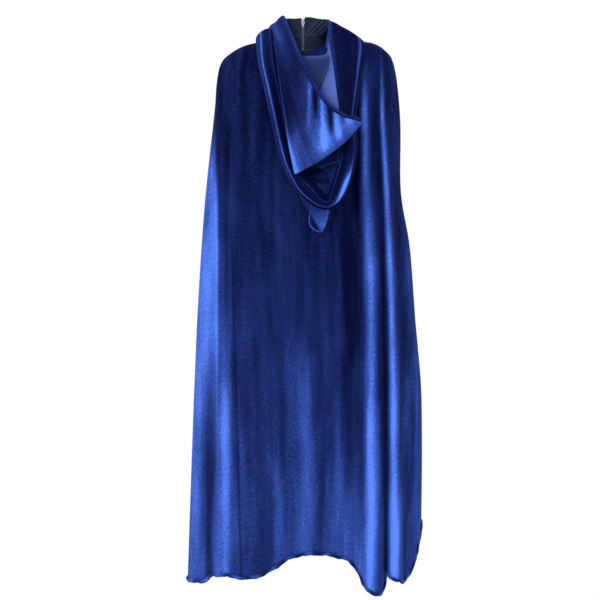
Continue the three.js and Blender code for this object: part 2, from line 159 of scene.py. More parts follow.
def normals(grid):
    """Unit normals of a grid of points, from its two sets of grid lines."""
    across = np.gradient(grid, axis=1)
    down = np.gradient(grid, axis=0)
    n = np.cross(down, across)
    return n / np.maximum(np.linalg.norm(n, axis=2, keepdims=True), 1e-9)


def even_steps(points, count):
    """Shares along a line of points that are an even length apart."""
    length = np.r_[0, np.cumsum(np.linalg.norm(np.diff(points, axis=0), axis=1))]
    return np.interp(np.linspace(0, length[-1], count), length, steps(len(points)))


def waves(x, *parts):
    """A sum of sine waves, each (length, height, start)."""
    return sum(height * np.sin(2 * math.pi * (x / length + start)) for length, height, start in parts)


def steps(count):
    """Shares from 0 to 1, an even way apart."""
    return np.linspace(0, 1, count)


# ---- Meshes.
def shown(name, data):
    """A new object in the scene that holds a mesh, a light or a camera."""
    made = bpy.data.objects.new(name, data)
    bpy.context.scene.collection.objects.link(made)
    return made


def sheet_mesh(name, grid, painted_light_and_tone=None, closed=False):
    """An object whose faces join the neighbours of a grid of points in millimetres. Its UV map
    is the length along both sets of grid lines in metres, and the third argument gives a number
    for each point, from 0, dark, to 1, light: the painted highlights and painted shade of the
    folds, over the cloth's own tone."""
    rows, columns = grid.shape[:2]
    index = np.arange(rows * columns).reshape(rows, columns)
    if closed:
        index = np.c_[index, index[:, :1]]
    corners = [index[:-1, :-1], index[1:, :-1], index[1:, 1:], index[:-1, 1:]]
    faces = np.stack([c.ravel() for c in corners], axis=1)
    mesh = bpy.data.meshes.new(name)
    mesh.vertices.add(rows * columns)
    mesh.vertices.foreach_set("co", (grid.reshape(-1) * MM).astype(np.float32))
    mesh.loops.add(faces.size)
    mesh.loops.foreach_set("vertex_index", faces.ravel().astype(np.int32))
    mesh.polygons.add(len(faces))
    mesh.polygons.foreach_set("loop_start", np.arange(0, faces.size, 4, dtype=np.int32))
    mesh.polygons.foreach_set("use_smooth", np.ones(len(faces), bool))
    mesh.update(calc_edges=True)
    step = np.linalg.norm(np.diff(grid, axis=1), axis=2)
    u = np.c_[np.zeros(rows), np.cumsum(step, axis=1)]
    u -= u[:, columns // 2 : columns // 2 + 1]
    step = np.linalg.norm(np.diff(grid, axis=0), axis=2)
    v = np.r_[np.zeros((1, columns)), np.cumsum(step, axis=0)]
    uv = (np.stack([u, -v], axis=2).reshape(-1, 2) * MM)[faces.ravel()]
    mesh.uv_layers.new(name="Cloth").data.foreach_set("uv", uv.ravel().astype(np.float32))
    # The attribute holds painted light and shade: painted highlights on crests and edges and painted shade in
    # valleys and hollows, over the cloth's own tone.
    layer = mesh.attributes.new("painted_light_and_tone", "FLOAT", "POINT")
    shade = np.zeros((rows, columns)) + (0.3 if painted_light_and_tone is None else painted_light_and_tone)
    layer.data.foreach_set("value", np.clip(shade, 0, 1).ravel().astype(np.float32))
    return shown(name, mesh)


def wall(piece, thickness):
    """Gives a sheet its thickness, half to each side."""
    solid = piece.modifiers.new("wall", "SOLIDIFY")
    solid.thickness = thickness * MM
    solid.offset = 0
    return piece


def frames_along(path):
    """Two directions square to a path, and to each other, at each of its points."""
    along = np.gradient(path, axis=0)
    along /= np.linalg.norm(along, axis=1, keepdims=True)
    up = np.zeros_like(along) + np.array([0.0, -1.0, 0.0])
    side = np.cross(along, up)
    side /= np.maximum(np.linalg.norm(side, axis=1, keepdims=True), 1e-9)
    return side, np.cross(side, along)


def tube(name, path, wide, high, turn=0.0, around=10, painted_light_and_tone=None):
    """A rolled edge: an ellipse of half axes wide and high, carried along a path and turned by
    an angle for each of its points, closed at both ends."""
    side, up = frames_along(path)
    angle = np.linspace(0, 2 * math.pi, around, endpoint=False)[None, :]
    turn = (np.zeros(len(path)) + turn)[:, None]
    a = wide * np.cos(angle)
    b = high * np.sin(angle)
    x = a * np.cos(turn) - b * np.sin(turn)
    y = a * np.sin(turn) + b * np.cos(turn)
    grid = path[:, None] + x[..., None] * side[:, None] + y[..., None] * up[:, None]
    ends = [np.repeat(path[:1, None], around, axis=1), np.repeat(path[-1:, None], around, axis=1)]
    grid = np.concatenate([ends[0], grid, ends[1]])
    piece = sheet_mesh(name, grid, painted_light_and_tone=painted_light_and_tone, closed=True)
    tidy_mesh(piece)
    return piece


def tidy_mesh(piece):
    """Merges the points that share a place and turns the faces of a closed mesh outwards."""
    work = bmesh.new()
    work.from_mesh(piece.data)
    bmesh.ops.remove_doubles(work, verts=work.verts, dist=1e-6)
    bmesh.ops.recalc_face_normals(work, faces=work.faces)
    work.to_mesh(piece.data)
    work.free()


def stitches(name, path, outward, length=2.6, gap=1.0, wide=0.6):
    """Sewing thread: short flat-topped dashes laid end to end along a path, each a low roof
    that stands on the cloth. outward is the cloth's normal at each point of the path."""
    total = np.r_[0, np.cumsum(np.linalg.norm(np.diff(path, axis=0), axis=1))]
    starts = np.arange(0, total[-1] - length, length + gap)
    at = starts[:, None] + np.array([0.0, 0.25, 0.75, 1.0]) * length
    here = np.stack([np.interp(at, total, path[:, k]) for k in range(3)], axis=2)
    out = np.stack([np.interp(at, total, outward[:, k]) for k in range(3)], axis=2)
    along = here[:, -1:] - here[:, :1]
    side = np.cross(along, out)
    side /= np.maximum(np.linalg.norm(side, axis=2, keepdims=True), 1e-9)
    rise = np.array([-0.3, 0.45, 0.45, -0.3])[None, :, None]
    ring = [(-wide / 2, -0.4), (-wide / 2, 0.0), (wide / 2, 0.0), (wide / 2, -0.4)]
    rows = [here + side * a + out * (rise + b) for a, b in ring]
    points = np.stack(rows, axis=2).reshape(-1, 3)
    base = (np.arange(len(starts)) * 16)[:, None, None]
    i = (np.arange(3) * 4)[:, None]
    j = np.arange(4)[None, :]
    k = (j + 1) % 4
    quads = np.stack([i + j, i + k, i + 4 + k, i + 4 + j], axis=-1).reshape(-1, 4)
    ends = np.array([[3, 2, 1, 0], [12, 13, 14, 15]])
    faces = (base + np.r_[quads, ends][None]).reshape(-1, 4)
    mesh = bpy.data.meshes.new(name)
    mesh.from_pydata((points * MM).tolist(), [], faces.tolist())
    mesh.update()
    piece = shown(name, mesh)
    tidy_mesh(piece)
    return piece


# ---- Materials.
class Nodes:
    """Short hand for the nodes of one material."""

    def __init__(self, name):
        self.material = bpy.data.materials.new(name)
        self.material.use_nodes = True
        self.tree = self.material.node_tree
        self.shader = self.tree.nodes["Principled BSDF"]

    def add(self, kind, **values):
        made = self.tree.nodes.new(kind)
        for key, value in values.items():
            if hasattr(made, key):
                setattr(made, key, value)
            else:
                made.inputs[key.replace("_", " ")].default_value = value
        return made

    def link(self, out, to):
        self.tree.links.new(out, to)

    def coordinates(self, scale, surface=True):
        """Places on the cloth's own map, or in the object's own space, times scale."""
        source = self.add("ShaderNodeUVMap", uv_map="Cloth") if surface else self.add("ShaderNodeTexCoord")
        spread = self.add("ShaderNodeMapping")
        spread.inputs["Scale"].default_value = scale
        self.link(source.outputs["UV" if surface else "Object"], spread.inputs["Vector"])
        return spread.outputs["Vector"]

    def painted_light_and_tone(self):
        """Painted light and shade, over the cloth's own tone, at each point of the mesh."""
        return self.add("ShaderNodeAttribute", attribute_name="painted_light_and_tone").outputs["Fac"]

    def noise(self, vector, scale, detail=2.0, roughness=0.5):
        made = self.add("ShaderNodeTexNoise", Scale=scale, Detail=detail, Roughness=roughness)
        self.link(vector, made.inputs["Vector"])
        return made.outputs["Fac"]

    def math(self, operation, a, b):
        made = self.add("ShaderNodeMath", operation=operation)
        for socket, value in zip(made.inputs, (a, b)):
            if isinstance(value, (int, float)):
                socket.default_value = value
            else:
                self.link(value, socket)
        return made.outputs[0]

    def ramp(self, value, *stops):
        made = self.add("ShaderNodeValToRGB")
        elements = made.color_ramp.elements
        while len(elements) < len(stops):
            elements.new(0.5)
        for element, (place, colour) in zip(elements, stops):
            element.position = place
            element.color = (*colour, 1) if len(colour) == 3 else colour
        self.link(value, made.inputs["Fac"])
        return made.outputs["Color"]

    def vary(self, total, part, weight, middle=0.5):
        """total, plus weight times how far part stands above its middle value."""
        return self.math("ADD", total, self.math("MULTIPLY", self.math("SUBTRACT", part, middle), weight))

    def gloss(self, **values):
        """Sets sockets of the shader by name, with _ for a space."""
        for key, value in values.items():
            self.shader.inputs[key.replace("_", " ")].default_value = value

    def bump(self, height, strength, distance):
        made = self.add("ShaderNodeBump", Strength=strength, Distance=distance)
        self.link(height, made.inputs["Height"])
        self.link(made.outputs["Normal"], self.shader.inputs["Normal"])


def velvet(name, dark, middle, light):
    """Stretch velvet: the pile's colour runs from dark to light with the painted light and shade
    held on the mesh, which is broken up by long soft streaks down the cloth and by short tufts,
    over a fine fibre bump."""
    n = Nodes(name)
    painted_light_and_tone = n.painted_light_and_tone()
    streaks = n.noise(n.coordinates((1, 0.09, 1)), 34.0, 3.0, 0.6)
    patches = n.noise(n.coordinates((1, 0.5, 1)), 9.0, 3.0, 0.55)
    tufts = n.noise(n.coordinates((1, 0.45, 1)), 330.0, 4.0, 0.7)
    fibres = n.noise(n.coordinates((1, 0.3, 1)), 1500.0, 2.0, 0.6)
    total = n.vary(painted_light_and_tone, streaks, 0.62)
    total = n.vary(total, patches, 0.5)
    total = n.vary(total, tufts, 0.8)
    total = n.vary(total, fibres, 0.16)
    between = tuple(math.sqrt(a * b) * 1.1 for a, b in zip(middle[:3], light[:3]))
    # Dark stands for painted shade and light for painted highlights on the folds.
    colour = n.ramp(total, (0.0, dark), (0.36, middle), (0.68, between), (1.0, light))
    n.link(colour, n.shader.inputs["Base Color"])
    height = n.math("ADD", n.math("MULTIPLY", tufts, 0.5), fibres)
    n.bump(height, 0.35, 0.0006)
    rough = n.ramp(total, (0.0, (0.7,) * 3), (1.0, (0.45,) * 3))
    n.link(rough, n.shader.inputs["Roughness"])
    n.gloss(Specular_IOR_Level=0.03, Sheen_Weight=0.03, Sheen_Roughness=0.4, Sheen_Tint=(0.12, 0.26, 1.0, 1))
    return n.material


def satin(name, dark, light):
    """Smooth lining: painted light and shade held on the mesh, over a fine weave of crossed
    threads with slightly uneven dye.
    """
    n = Nodes(name)
    painted_light_and_tone = n.painted_light_and_tone()
    slubs = n.noise(n.coordinates((1, 8, 1)), 60.0, 3.0)
    weft = n.noise(n.coordinates((1, 12, 1)), 260.0, 2.0)
    warp = n.noise(n.coordinates((12, 1, 1)), 260.0, 2.0)
    total = n.vary(painted_light_and_tone, slubs, 0.2)
    threads = n.math("ADD", weft, warp)
    total = n.vary(total, threads, 0.14, middle=1.0)
    n.link(n.ramp(total, (0.0, dark), (1.0, light)), n.shader.inputs["Base Color"])
    n.bump(threads, 0.3, 0.0002)
    n.gloss(Roughness=0.42, Specular_IOR_Level=0.06)
    return n.material


def knit(name, dark, light):
    """Matte jersey: painted light and shade of its creases held on the mesh, with some wear, over
    fine ribs of knitting down the cloth, crossed by rows of loops.
    """
    n = Nodes(name)
    painted_light_and_tone = n.painted_light_and_tone()
    ribs = n.add("ShaderNodeTexWave", Scale=200.0, Distortion=1.2)
    ribs.bands_direction = "X"
    n.link(n.coordinates((1, 1, 1)), ribs.inputs["Vector"])
    loops = n.add("ShaderNodeTexWave", Scale=260.0, Distortion=1.6)
    loops.bands_direction = "Y"
    n.link(n.coordinates((1, 1, 1)), loops.inputs["Vector"])
    wear = n.noise(n.coordinates((1, 1, 1)), 45.0, 4.0, 0.6)
    threads = n.math("ADD", ribs.outputs["Fac"], loops.outputs["Fac"])
    total = n.vary(painted_light_and_tone, wear, 0.4)
    total = n.vary(total, threads, 0.1, middle=1.0)
    n.link(n.ramp(total, (0.0, dark), (1.0, light)), n.shader.inputs["Base Color"])
    n.bump(threads, 0.4, 0.0003)
    n.gloss(Roughness=0.8, Specular_IOR_Level=0.12, Sheen_Weight=0.05, Sheen_Tint=(0.4, 0.5, 0.8, 1))
    return n.material


def hard(name, dark, light, rough, metallic, scale, bump):
    """A small hard piece: faint handling marks in its colour, its gloss and its surface."""
    n = Nodes(name)
    marks = n.noise(n.coordinates((1, 1, 0.3), surface=False), scale, 4.0, 0.65)
    n.link(n.ramp(marks, (0.3, dark), (0.7, light)), n.shader.inputs["Base Color"])
    rough = n.ramp(marks, (0.25, (rough[0],) * 3), (0.75, (rough[1],) * 3))
    n.link(rough, n.shader.inputs["Roughness"])
    n.bump(marks, bump, 0.0002)
    n.gloss(Metallic=metallic)
    return n.material


def woven(name, dark, light):
    """Narrow woven tape: threads across it and along it."""
    n = Nodes(name)
    across = n.noise(n.coordinates((6, 6, 1), surface=False), 600.0, 2.0)
    along = n.noise(n.coordinates((1, 1, 8), surface=False), 600.0, 2.0)
    threads = n.math("ADD", across, along)
    n.link(n.ramp(n.math("MULTIPLY", threads, 0.5), (0.3, dark), (0.7, light)), n.shader.inputs["Base Color"])
    n.bump(threads, 0.4, 0.0002)
    n.gloss(Roughness=0.85)
    return n.material


def finish(name):
    """The named finish, made once from the colours in the panel."""
    made = f"{name}_finish"
    if made in bpy.data.materials:
        return bpy.data.materials[made]
    look = bpy.context.scene.cape_colours
    makers = {
        "velvet": lambda: velvet(made, look.velvet_dark, look.velvet_middle, look.velvet_light),
        "lining": lambda: satin(made, look.lining_dark, look.lining_light),
        "jersey": lambda: knit(made, look.jersey_dark, look.jersey_light),
        "thread": lambda: woven(made, look.velvet_middle, look.thread),
        "dark_thread": lambda: woven(made, look.jersey_dark, look.jersey_light),
        "tape": lambda: woven(made, (0.008, 0.013, 0.03), (0.03, 0.045, 0.09)),
        "elastic": lambda: woven(made, (0.35, 0.35, 0.36), (0.7, 0.7, 0.7)),
        "coil": lambda: hard(made, (0.05, 0.065, 0.1), (0.14, 0.16, 0.22), (0.35, 0.55), 0.0, 400.0, 0.2),
        "nickel": lambda: hard(made, (0.2, 0.21, 0.24), (0.42, 0.43, 0.48), (0.22, 0.45), 1.0, 500.0, 0.15),
    }
    return makers[name]()


def dress(piece, look, body="cape"):
    """Gives a piece its finish and the body it rides on."""
    piece.data.materials.clear()
    piece.data.materials.append(finish(look))
    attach(piece, body)
    return piece


# ---- The hanging body, open in front.
def neck_seam_height(angle):
    """Higher at the sides than at the centre back, and a little lower in front."""
    return 32 * np.sin(angle) ** 2 - 3 * (1 - np.cos(angle))


def down_share(z):
    return np.clip(-z / BODY_LENGTH, 0, 1)


def half_width(side, z):
    """Half widths left and right of the zip: they flare from the shoulders to the hem."""
    s = down_share(z)
    left = profile(
        s, (0, 0), (0.025, 0.09), (0.06, 0.17), (0.1, 0.21), (0.27, 0.49), (0.46, 0.69), (0.65, 0.82), (1, 1)
    )
    right = profile(
        s, (0, 0), (0.05, 0.17), (0.13, 0.29), (0.26, 0.31), (0.36, 0.6), (0.49, 0.78), (0.65, 1), (1, 0.96)
    )
    return np.where(
        side < 0,
        HEM_LEFT * mix(SHOULDER_SHARE_LEFT, 1, left),
        HEM_RIGHT * mix(SHOULDER_SHARE_RIGHT, 1, right),
    )


def half_depth(z):
    return mix(46, 80, down_share(z) ** 1.3)


def plan_depth(c):
    return (1 - np.minimum(np.abs(c), 1) ** 3.2) ** (1 / 3.2)


# Folds that run down the back. Each has its place from the zip, its width, how far it rises and
# how far its crest swells sideways, by share of the length; then how strong the painted
# highlight on its crest is.
BACK_FOLDS = [
    # (place, width, rise, swell, painted highlight)
    (((0, -188), (0.3, -196), (0.6, -192), (1, -196)), ((0, 12), (1, 16)),
     ((0, 0), (0.1, 4), (0.25, 12), (0.6, 14), (1, 16)), ((0, 0), (0.2, 7), (1, 9)), 0.12),
    (((0, -150), (0.3, -165), (0.6, -178), (1, -176)), ((0, 12), (1, 26)),
     ((0, 5), (0.08, 4), (0.2, 0), (0.4, 4), (0.7, 9), (1, 9)), ((0, 0), (1, 0)), 0.4),
    (((0, -112), (0.5, -118), (1, -128)), ((0, 30), (1, 40)),
     ((0, 0), (0.4, 1), (1, 7)), ((0, 0), (1, 0)), 0.24),
    (((0, 8), (0.5, 2), (1, -4)), ((0, 40), (1, 44)), ((0, 0), (0.4, 2), (1, 8)), ((0, 0), (1, 0)), 0.2),
    (((0, 92), (0.5, 88), (1, 84)), ((0, 22), (1, 30)), ((0, 0), (0.3, 3), (1, 8)), ((0, 0), (1, 0)), 0.22),
    (((0, 132), (0.3, 140), (1, 142)), ((0, 9), (1, 12)),
     ((0, 0), (0.5, 2), (1, 6)), ((0, 0), (1, 0)), 0.15),
    (((0, 146), (0.2, 150), (0.45, 162), (1, 162)), ((0, 18), (1, 21)),
     ((0, 2), (0.05, 6), (0.2, 22), (0.6, 34), (1, 38)), ((0, 2), (0.2, 10), (1, 20)), 0.62),
    (((0, 188), (0.15, 192), (0.3, 203), (0.6, 214), (1, 217)), ((0, 8), (0.3, 9), (1, 12)),
     ((0, 2), (0.05, 6), (0.2, 18), (0.6, 34), (1, 40)), ((0, 2), (0.2, 9), (1, 20)), 0.7),
]
FRONT_FOLDS = [
    (((0, -120), (1, -196)), ((0, 22), (1, 26)), ((0, 2), (0.3, 12), (1, 18)), ((0, 0), (1, 8)), 0.7),
    (((0, -66), (1, -100)), ((0, 22), (1, 26)), ((0, 2), (0.3, 12), (1, 20)), ((0, 0), (1, 8)), 0.7),
    (((0, 74), (1, 118)), ((0, 22), (1, 26)), ((0, 2), (0.3, 12), (1, 20)), ((0, 0), (1, 8)), 0.7),
    (((0, 140), (1, 216)), ((0, 22), (1, 26)), ((0, 2), (0.3, 12), (1, 18)), ((0, 0), (1, 8)), 0.7),
]


def fold_terms(folds, x, z):
    """Rise, sideways swell and painted highlight of all folds: each rises by a bell across it, swells by
    the bell's slope, so that its flanks stand steep, and has its painted highlight just left of its crest."""
    s = down_share(z)
    rise, swell, light = 0 * x, 0 * x, 0 * x
    for place, width, height, spread, crest in folds:
        t = (x - profile(s, *place)) / profile(s, *width)
        hump = np.exp(-(t**2))
        rise = rise + profile(s, *height) * hump
        swell = swell + profile(s, *spread) * t * hump
        share = np.clip(profile(s, *height) / 12, 0, 1)
        light = light + crest * share * np.exp(-(((t + 0.1) / 0.44) ** 2))
    return rise, swell, light


def hem_height(face, c):
    """How far the hem stands above its lowest point, by share of the half width."""
    if face < 0:
        return profile(
            c, (-1, 23), (-0.86, 25), (-0.74, 46), (-0.48, 38), (-0.3, 52), (-0.07, 90), (0.31, 88),
            (0.49, 50), (0.58, 6), (0.65, 20), (0.7, 60), (0.76, 40), (0.84, 26), (0.92, 60), (0.97, 110),
            (1, 160),
        )
    return profile(c, (-1, 23), (-0.9, 70), (-0.4, 112), (0, 108), (0.5, 118), (0.9, 135), (1, 160))


def body_grid(face, c, v):
    """Points of the hanging cloth and the painted highlights on their fold crests. c runs from -1,
    the left side seam, to 1, the right one, and v from 0, at the neck and shoulder seams, to 1, at
    the hem. In plan each level is a rounded box, to which the folds add their rise and swell; near
    the top the cloth turns over the shoulder ridge by a quarter circle."""
    shoulder = np.where(c < 0, HEM_LEFT * SHOULDER_SHARE_LEFT, HEM_RIGHT * SHOULDER_SHARE_RIGHT)
    top_x = np.abs(c) * shoulder
    at_neck = top_x < NECK_X
    angle = np.arcsin(np.minimum(top_x / NECK_X, 1))
    top_y = np.where(at_neck, face * NECK_Y * np.cos(angle), 0)
    neck_z = neck_seam_height(angle if face < 0 else math.pi - angle) - 3.2
    out = np.clip((top_x - NECK_X) / (shoulder - NECK_X), 0, 1)
    ridge = np.where(
        c < 0,
        profile(out, (0, 28.8), (0.42, 25), (0.6, 19), (0.76, 9), (0.9, -5), (0.97, -18), (1, -36)),
        profile(out, (0, 28.8), (0.5, 29), (0.7, 25), (0.82, 17), (0.93, 3), (0.98, -8), (1, -24)),
    )
    top_z = np.where(at_neck, neck_z, ridge)
    z = mix(top_z, hem_height(face, c) - BODY_LENGTH, v**ROW_POWER)
    drop = top_z - z
    turned = np.sqrt(1 - (1 - np.minimum(drop / 34, 1)) ** 2)
    settled = smooth(drop / 90)
    ease = mix(turned, settled, np.where(at_neck, np.cos(angle), 0))
    x = c * half_width(c, z)
    rise, swell, light = fold_terms(BACK_FOLDS if face < 0 else FRONT_FOLDS, x, z)
    plan = plan_depth(c)
    rumple = waves(z + 40 * np.sin(x / 37), (310, 0.7, 0.1), (173, 0.5, 0.6)) * np.sin(x / 23 + z / 190)
    depth = half_depth(z) * plan + (rise + rumple) * np.minimum(plan * 1.25, 1) * settled
    sewn = np.minimum((1 - np.abs(c)) * 14, 1)  # both faces meet at the side seam
    y = mix(top_y, face * depth, ease) + face * 0.4 * sewn
    return np.stack([x + swell * settled * sewn, y, z], axis=2), light


def back_painted_light(c, grid, light):
    """Painted light and shade of the back: dark navy high in the middle, painted lighter towards
    the hem, painted highlights on the fold crests and on the cloth that turns away at the left
    side, painted shade in a valley right of the middle, and a dark line along a seam."""
    x, z = grid[..., 0], grid[..., 2]
    s = down_share(z)
    # Painted: dark high up, lighter towards the hem.
    base = profile(
        s, (0, 0.04), (0.08, 0.08), (0.3, 0.17), (0.45, 0.23), (0.65, 0.35), (0.85, 0.46), (1, 0.43)
    )
    # Painted highlight on the cloth that turns away at the left side.
    away = x + profile(s, (0, 206), (0.15, 204), (0.3, 198), (0.6, 196), (1, 190))
    left = smooth(-away / 9) * profile(
        s, (0, 0), (0.08, 0), (0.14, 0.2), (0.23, 0.6), (0.5, 0.56), (0.72, 0.2), (1, 0.12)
    )
    seam = 0.22 * bell(x, profile(s, (0.3, -172), (1, -144)), 2.2) * smooth((s - 0.28) * 9)
    # Painted light on the cloth that turns away at the right side.
    right = smooth((c - 0.9) / 0.06) * profile(s, (0, 0), (0.25, 0.05), (0.4, 0.14), (1, 0.04))
    shadow = 0.3 * bell(x, profile(s, (0, 106), (1, 118)), 24)
    shadow = shadow * smooth(s * 5) * profile(s, (0.6, 1), (0.9, 0))
    # The painted stripes and edge lights below show only on the lower half.
    low = smooth((s - 0.5) * 5)
    stripes = sum(  # one for each long painted stripe, a highlight where its lightness is above 0 and shade below: lightness, place and half width
        weight * bell(x, place, width)
        for weight, place, width in (
            (-0.34, -222, 11), (0.24, -187, 13), (-0.16, -122, 22),
            (0.12, 6, 16), (-0.12, 48, 14), (-0.1, 140, 12),
        )
    )
    # Painted highlights: along the left edge down to the hem, and low down right of the middle.
    edge = 0.26 * smooth((-x - 238) / 9) * profile(s, (0.6, 1), (1, 0))
    edge = edge + 0.3 * bell(x, 122, 24) * smooth((s - 0.66) * 5)
    # The painted crest highlights take the place of part of the base lightness.
    crests = base * (1 - 0.55 * np.clip(light, 0, 1)) + light
    return crests + left + right + low * (stripes + edge) - shadow - seam


def across_steps(face, low, high, count):
    """Shares across the body whose points are evenly spread along the folds of the hem."""
    c = np.sin(np.linspace(-1, 1, FINE_STEPS) * math.pi / 2)[None, :]
    line, _ = body_grid(face, c, np.full_like(c, FOLD_LEVEL))
    return np.clip(np.interp(even_steps(line[0], count), steps(FINE_STEPS), c[0]), low, high)


def hem_roll(name, edge, phase):
    """A narrow double-turned hem, a flattened roll that twists a little along its length."""
    step = even_steps(edge, HEM_POINTS)
    line = np.stack([np.interp(step, steps(len(edge)), edge[:, k]) for k in range(3)], axis=1)
    length = steps(len(line))
    line[:, 2] += 2 + waves(length, (0.055, 0.9, phase), (0.021, 0.5, 0.3))
    turn = waves(length, (0.11, 0.5, phase), (0.043, 0.35, 0.2))
    along = steps(len(line) + 2)  # with the two closed ends
    shade = 0.46 + np.zeros((len(along), 10)) + waves(along, (0.05, 0.2, 0.4))[:, None]
    return tube(name, line, 4.6, 2.2, turn, 10, shade)


class CAPE_OT_body_back(bpy.types.Operator):
    """Back of the cape: one panel from the neck and shoulders to the hem, in deep folds"""

    bl_idname = "cape.body_back"
    bl_label = "Back panel"

    def execute(self, context):
        c = across_steps(-1, -1.0, 1.0, 300)[None, :]
        v = steps(130)[:, None]
        c, v = np.broadcast_arrays(c, v)
        grid, light = body_grid(-1, c, v)
        piece = wall(sheet_mesh("back_panel", grid, back_painted_light(c, grid, light)), 1.2)
        dress(piece, "velvet")
        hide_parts("cape_back_panel")
        hem = dress(hem_roll("back_hem", grid[-1, 2:-2], 0.2), "velvet")
        row = np.abs(v[:, 0] - STITCH_SHARE).argmin() - 1
        thread = stitches("back_hem_stitching", grid[row, 3:-3], -normals(grid)[row, 3:-3], 3.2, 1.4, 0.7)
        dress(thread, "thread")
        return {"FINISHED"}


class CAPE_OT_body_front(bpy.types.Operator):
    """Fronts of the cape: two panels whose inner edges stand apart"""

    bl_idname = "cape.body_front"
    bl_label = "Front panels"

    def execute(self, context):
        v = steps(120)[:, None]
        for side, hand in ((-1, "left"), (1, "right")):
            gap = mix(20, 120, v**ROW_POWER) / 2  # half the opening between the fronts
            edge = gap / half_width(np.array([[side]]), -BODY_LENGTH * v**ROW_POWER)
            u = steps(150)[None, :]
            c = side * mix(1.0, edge, smooth(u**1.6) * 0.3 + 0.7 * u**1.6)
            c, down = np.broadcast_arrays(c, v)
            grid, light = body_grid(1, c, down)
            s = down_share(grid[..., 2])
            # Painted light: lighter towards the hem, with painted highlights on the fold crests.
            piece = wall(sheet_mesh(f"front_panel_{hand}", grid, 0.2 + 0.2 * s + 0.6 * light), 1.2)
            dress(piece, "velvet")
            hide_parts(f"cape_front_{hand}_panel")
            hem = dress(hem_roll(f"front_hem_{hand}", grid[-1, 2:-2], 0.5), "velvet")
            border = grid[4:-3, -1]
            facing = dress(tube(f"front_edge_{hand}", border, 3.4, 1.7, 0.0, 10), "velvet")
            n = normals(grid)[4:-3, -7] * side
            thread = stitches(f"front_edge_stitching_{hand}", grid[4:-3, -7], n * 0.9, 3.2, 1.4, 0.7)
            dress(thread, "thread")
        return {"FINISHED"}


# ---- The hood, hanging down the back.
def lay(points):
    """Control points (across, standing off the back, height) as places in space."""
    x, out, z = np.moveaxis(np.asarray(points, float), -1, 0)
    c = x / half_width(x, z)
    rise, _, _ = fold_terms(BACK_FOLDS, x, z)
    low = np.minimum(z, 0)
    depth = half_depth(low) * plan_depth(c) + rise * 0.6 * smooth(-z / 90)
    return np.stack([x, -(depth + out), z], axis=-1)


def hood_front_net():
    """Front ply of the hood's left half: from the neck's left side it goes up and over, and down
    the back between the inner ridge, on the left, and the face edge, on the right. Its lower
    end is folded under."""
    over = np.array([
        [[-64, 14, 30], [-62, 20, 30], [-60, 24, 29], [-57, 27, 27],
         [-54, 30, 25], [-50, 33, 22], [-46, 35, 19]],
        [[-84, -14, 42], [-88, -8, 46], [-84, -2, 52], [-78, 2, 58],
         [-70, 6, 62], [-62, 8, 66], [-55, 10, 68]],
    ], float)
    over_back = np.array([
        [[-70, -42, 32], [-78, -46, 42], [-77, -48, 50], [-72, -48, 58],
         [-66, -50, 65], [-59, -50, 71], [-52, -50, 76]],
    ], float)
    down = lay([
        [[-54, 8, 2], [-68, 18, 6], [-62, 24, 11], [-54, 28, 16],
         [-46, 29, 21], [-39, 30, 26], [-33, 30, 30]],
        [[-46, 10, -56], [-60, 26, -52], [-53, 33, -46], [-43, 38, -40],
         [-33, 40, -34], [-22, 42, -29], [-12, 43, -24]],
        [[-38, 12, -118], [-52, 30, -112], [-42, 39, -104], [-28, 46, -97],
         [-14, 50, -89], [-2, 52, -81], [11, 54, -74]],
        [[-30, 14, -172], [-44, 34, -166], [-31, 44, -158], [-13, 52, -147],
         [4, 58, -136], [19, 61, -124], [34, 63, -113]],
        [[-22, 15, -228], [-36, 36, -222], [-20, 47, -210], [0, 56, -196],
         [21, 62, -180], [41, 68, -163], [60, 71, -146]],
        [[-14, 15, -266], [-28, 38, -262], [-10, 48, -247], [14, 57, -230],
         [40, 65, -210], [66, 73, -189], [91, 77, -168]],
        [[-8, 14, -292], [-22, 38, -290], [0, 47, -276], [26, 56, -257],
         [54, 65, -236], [86, 75, -208], [119, 81, -176]],
        [[-6, 12, -300], [-20, 36, -300], [6, 45, -286], [34, 54, -272],
         [64, 64, -252], [98, 74, -226], [137, 80, -184]],
        [[-2, 8, -290], [-14, 28, -296], [12, 36, -283], [38, 44, -268],
         [66, 52, -248], [97, 62, -222], [130, 68, -186]],
        [[2, 6, -276], [-6, 18, -284], [16, 26, -270], [40, 34, -256],
         [66, 42, -236], [94, 52, -212], [124, 60, -182]],
    ])
    return np.concatenate([over, over_back, down])


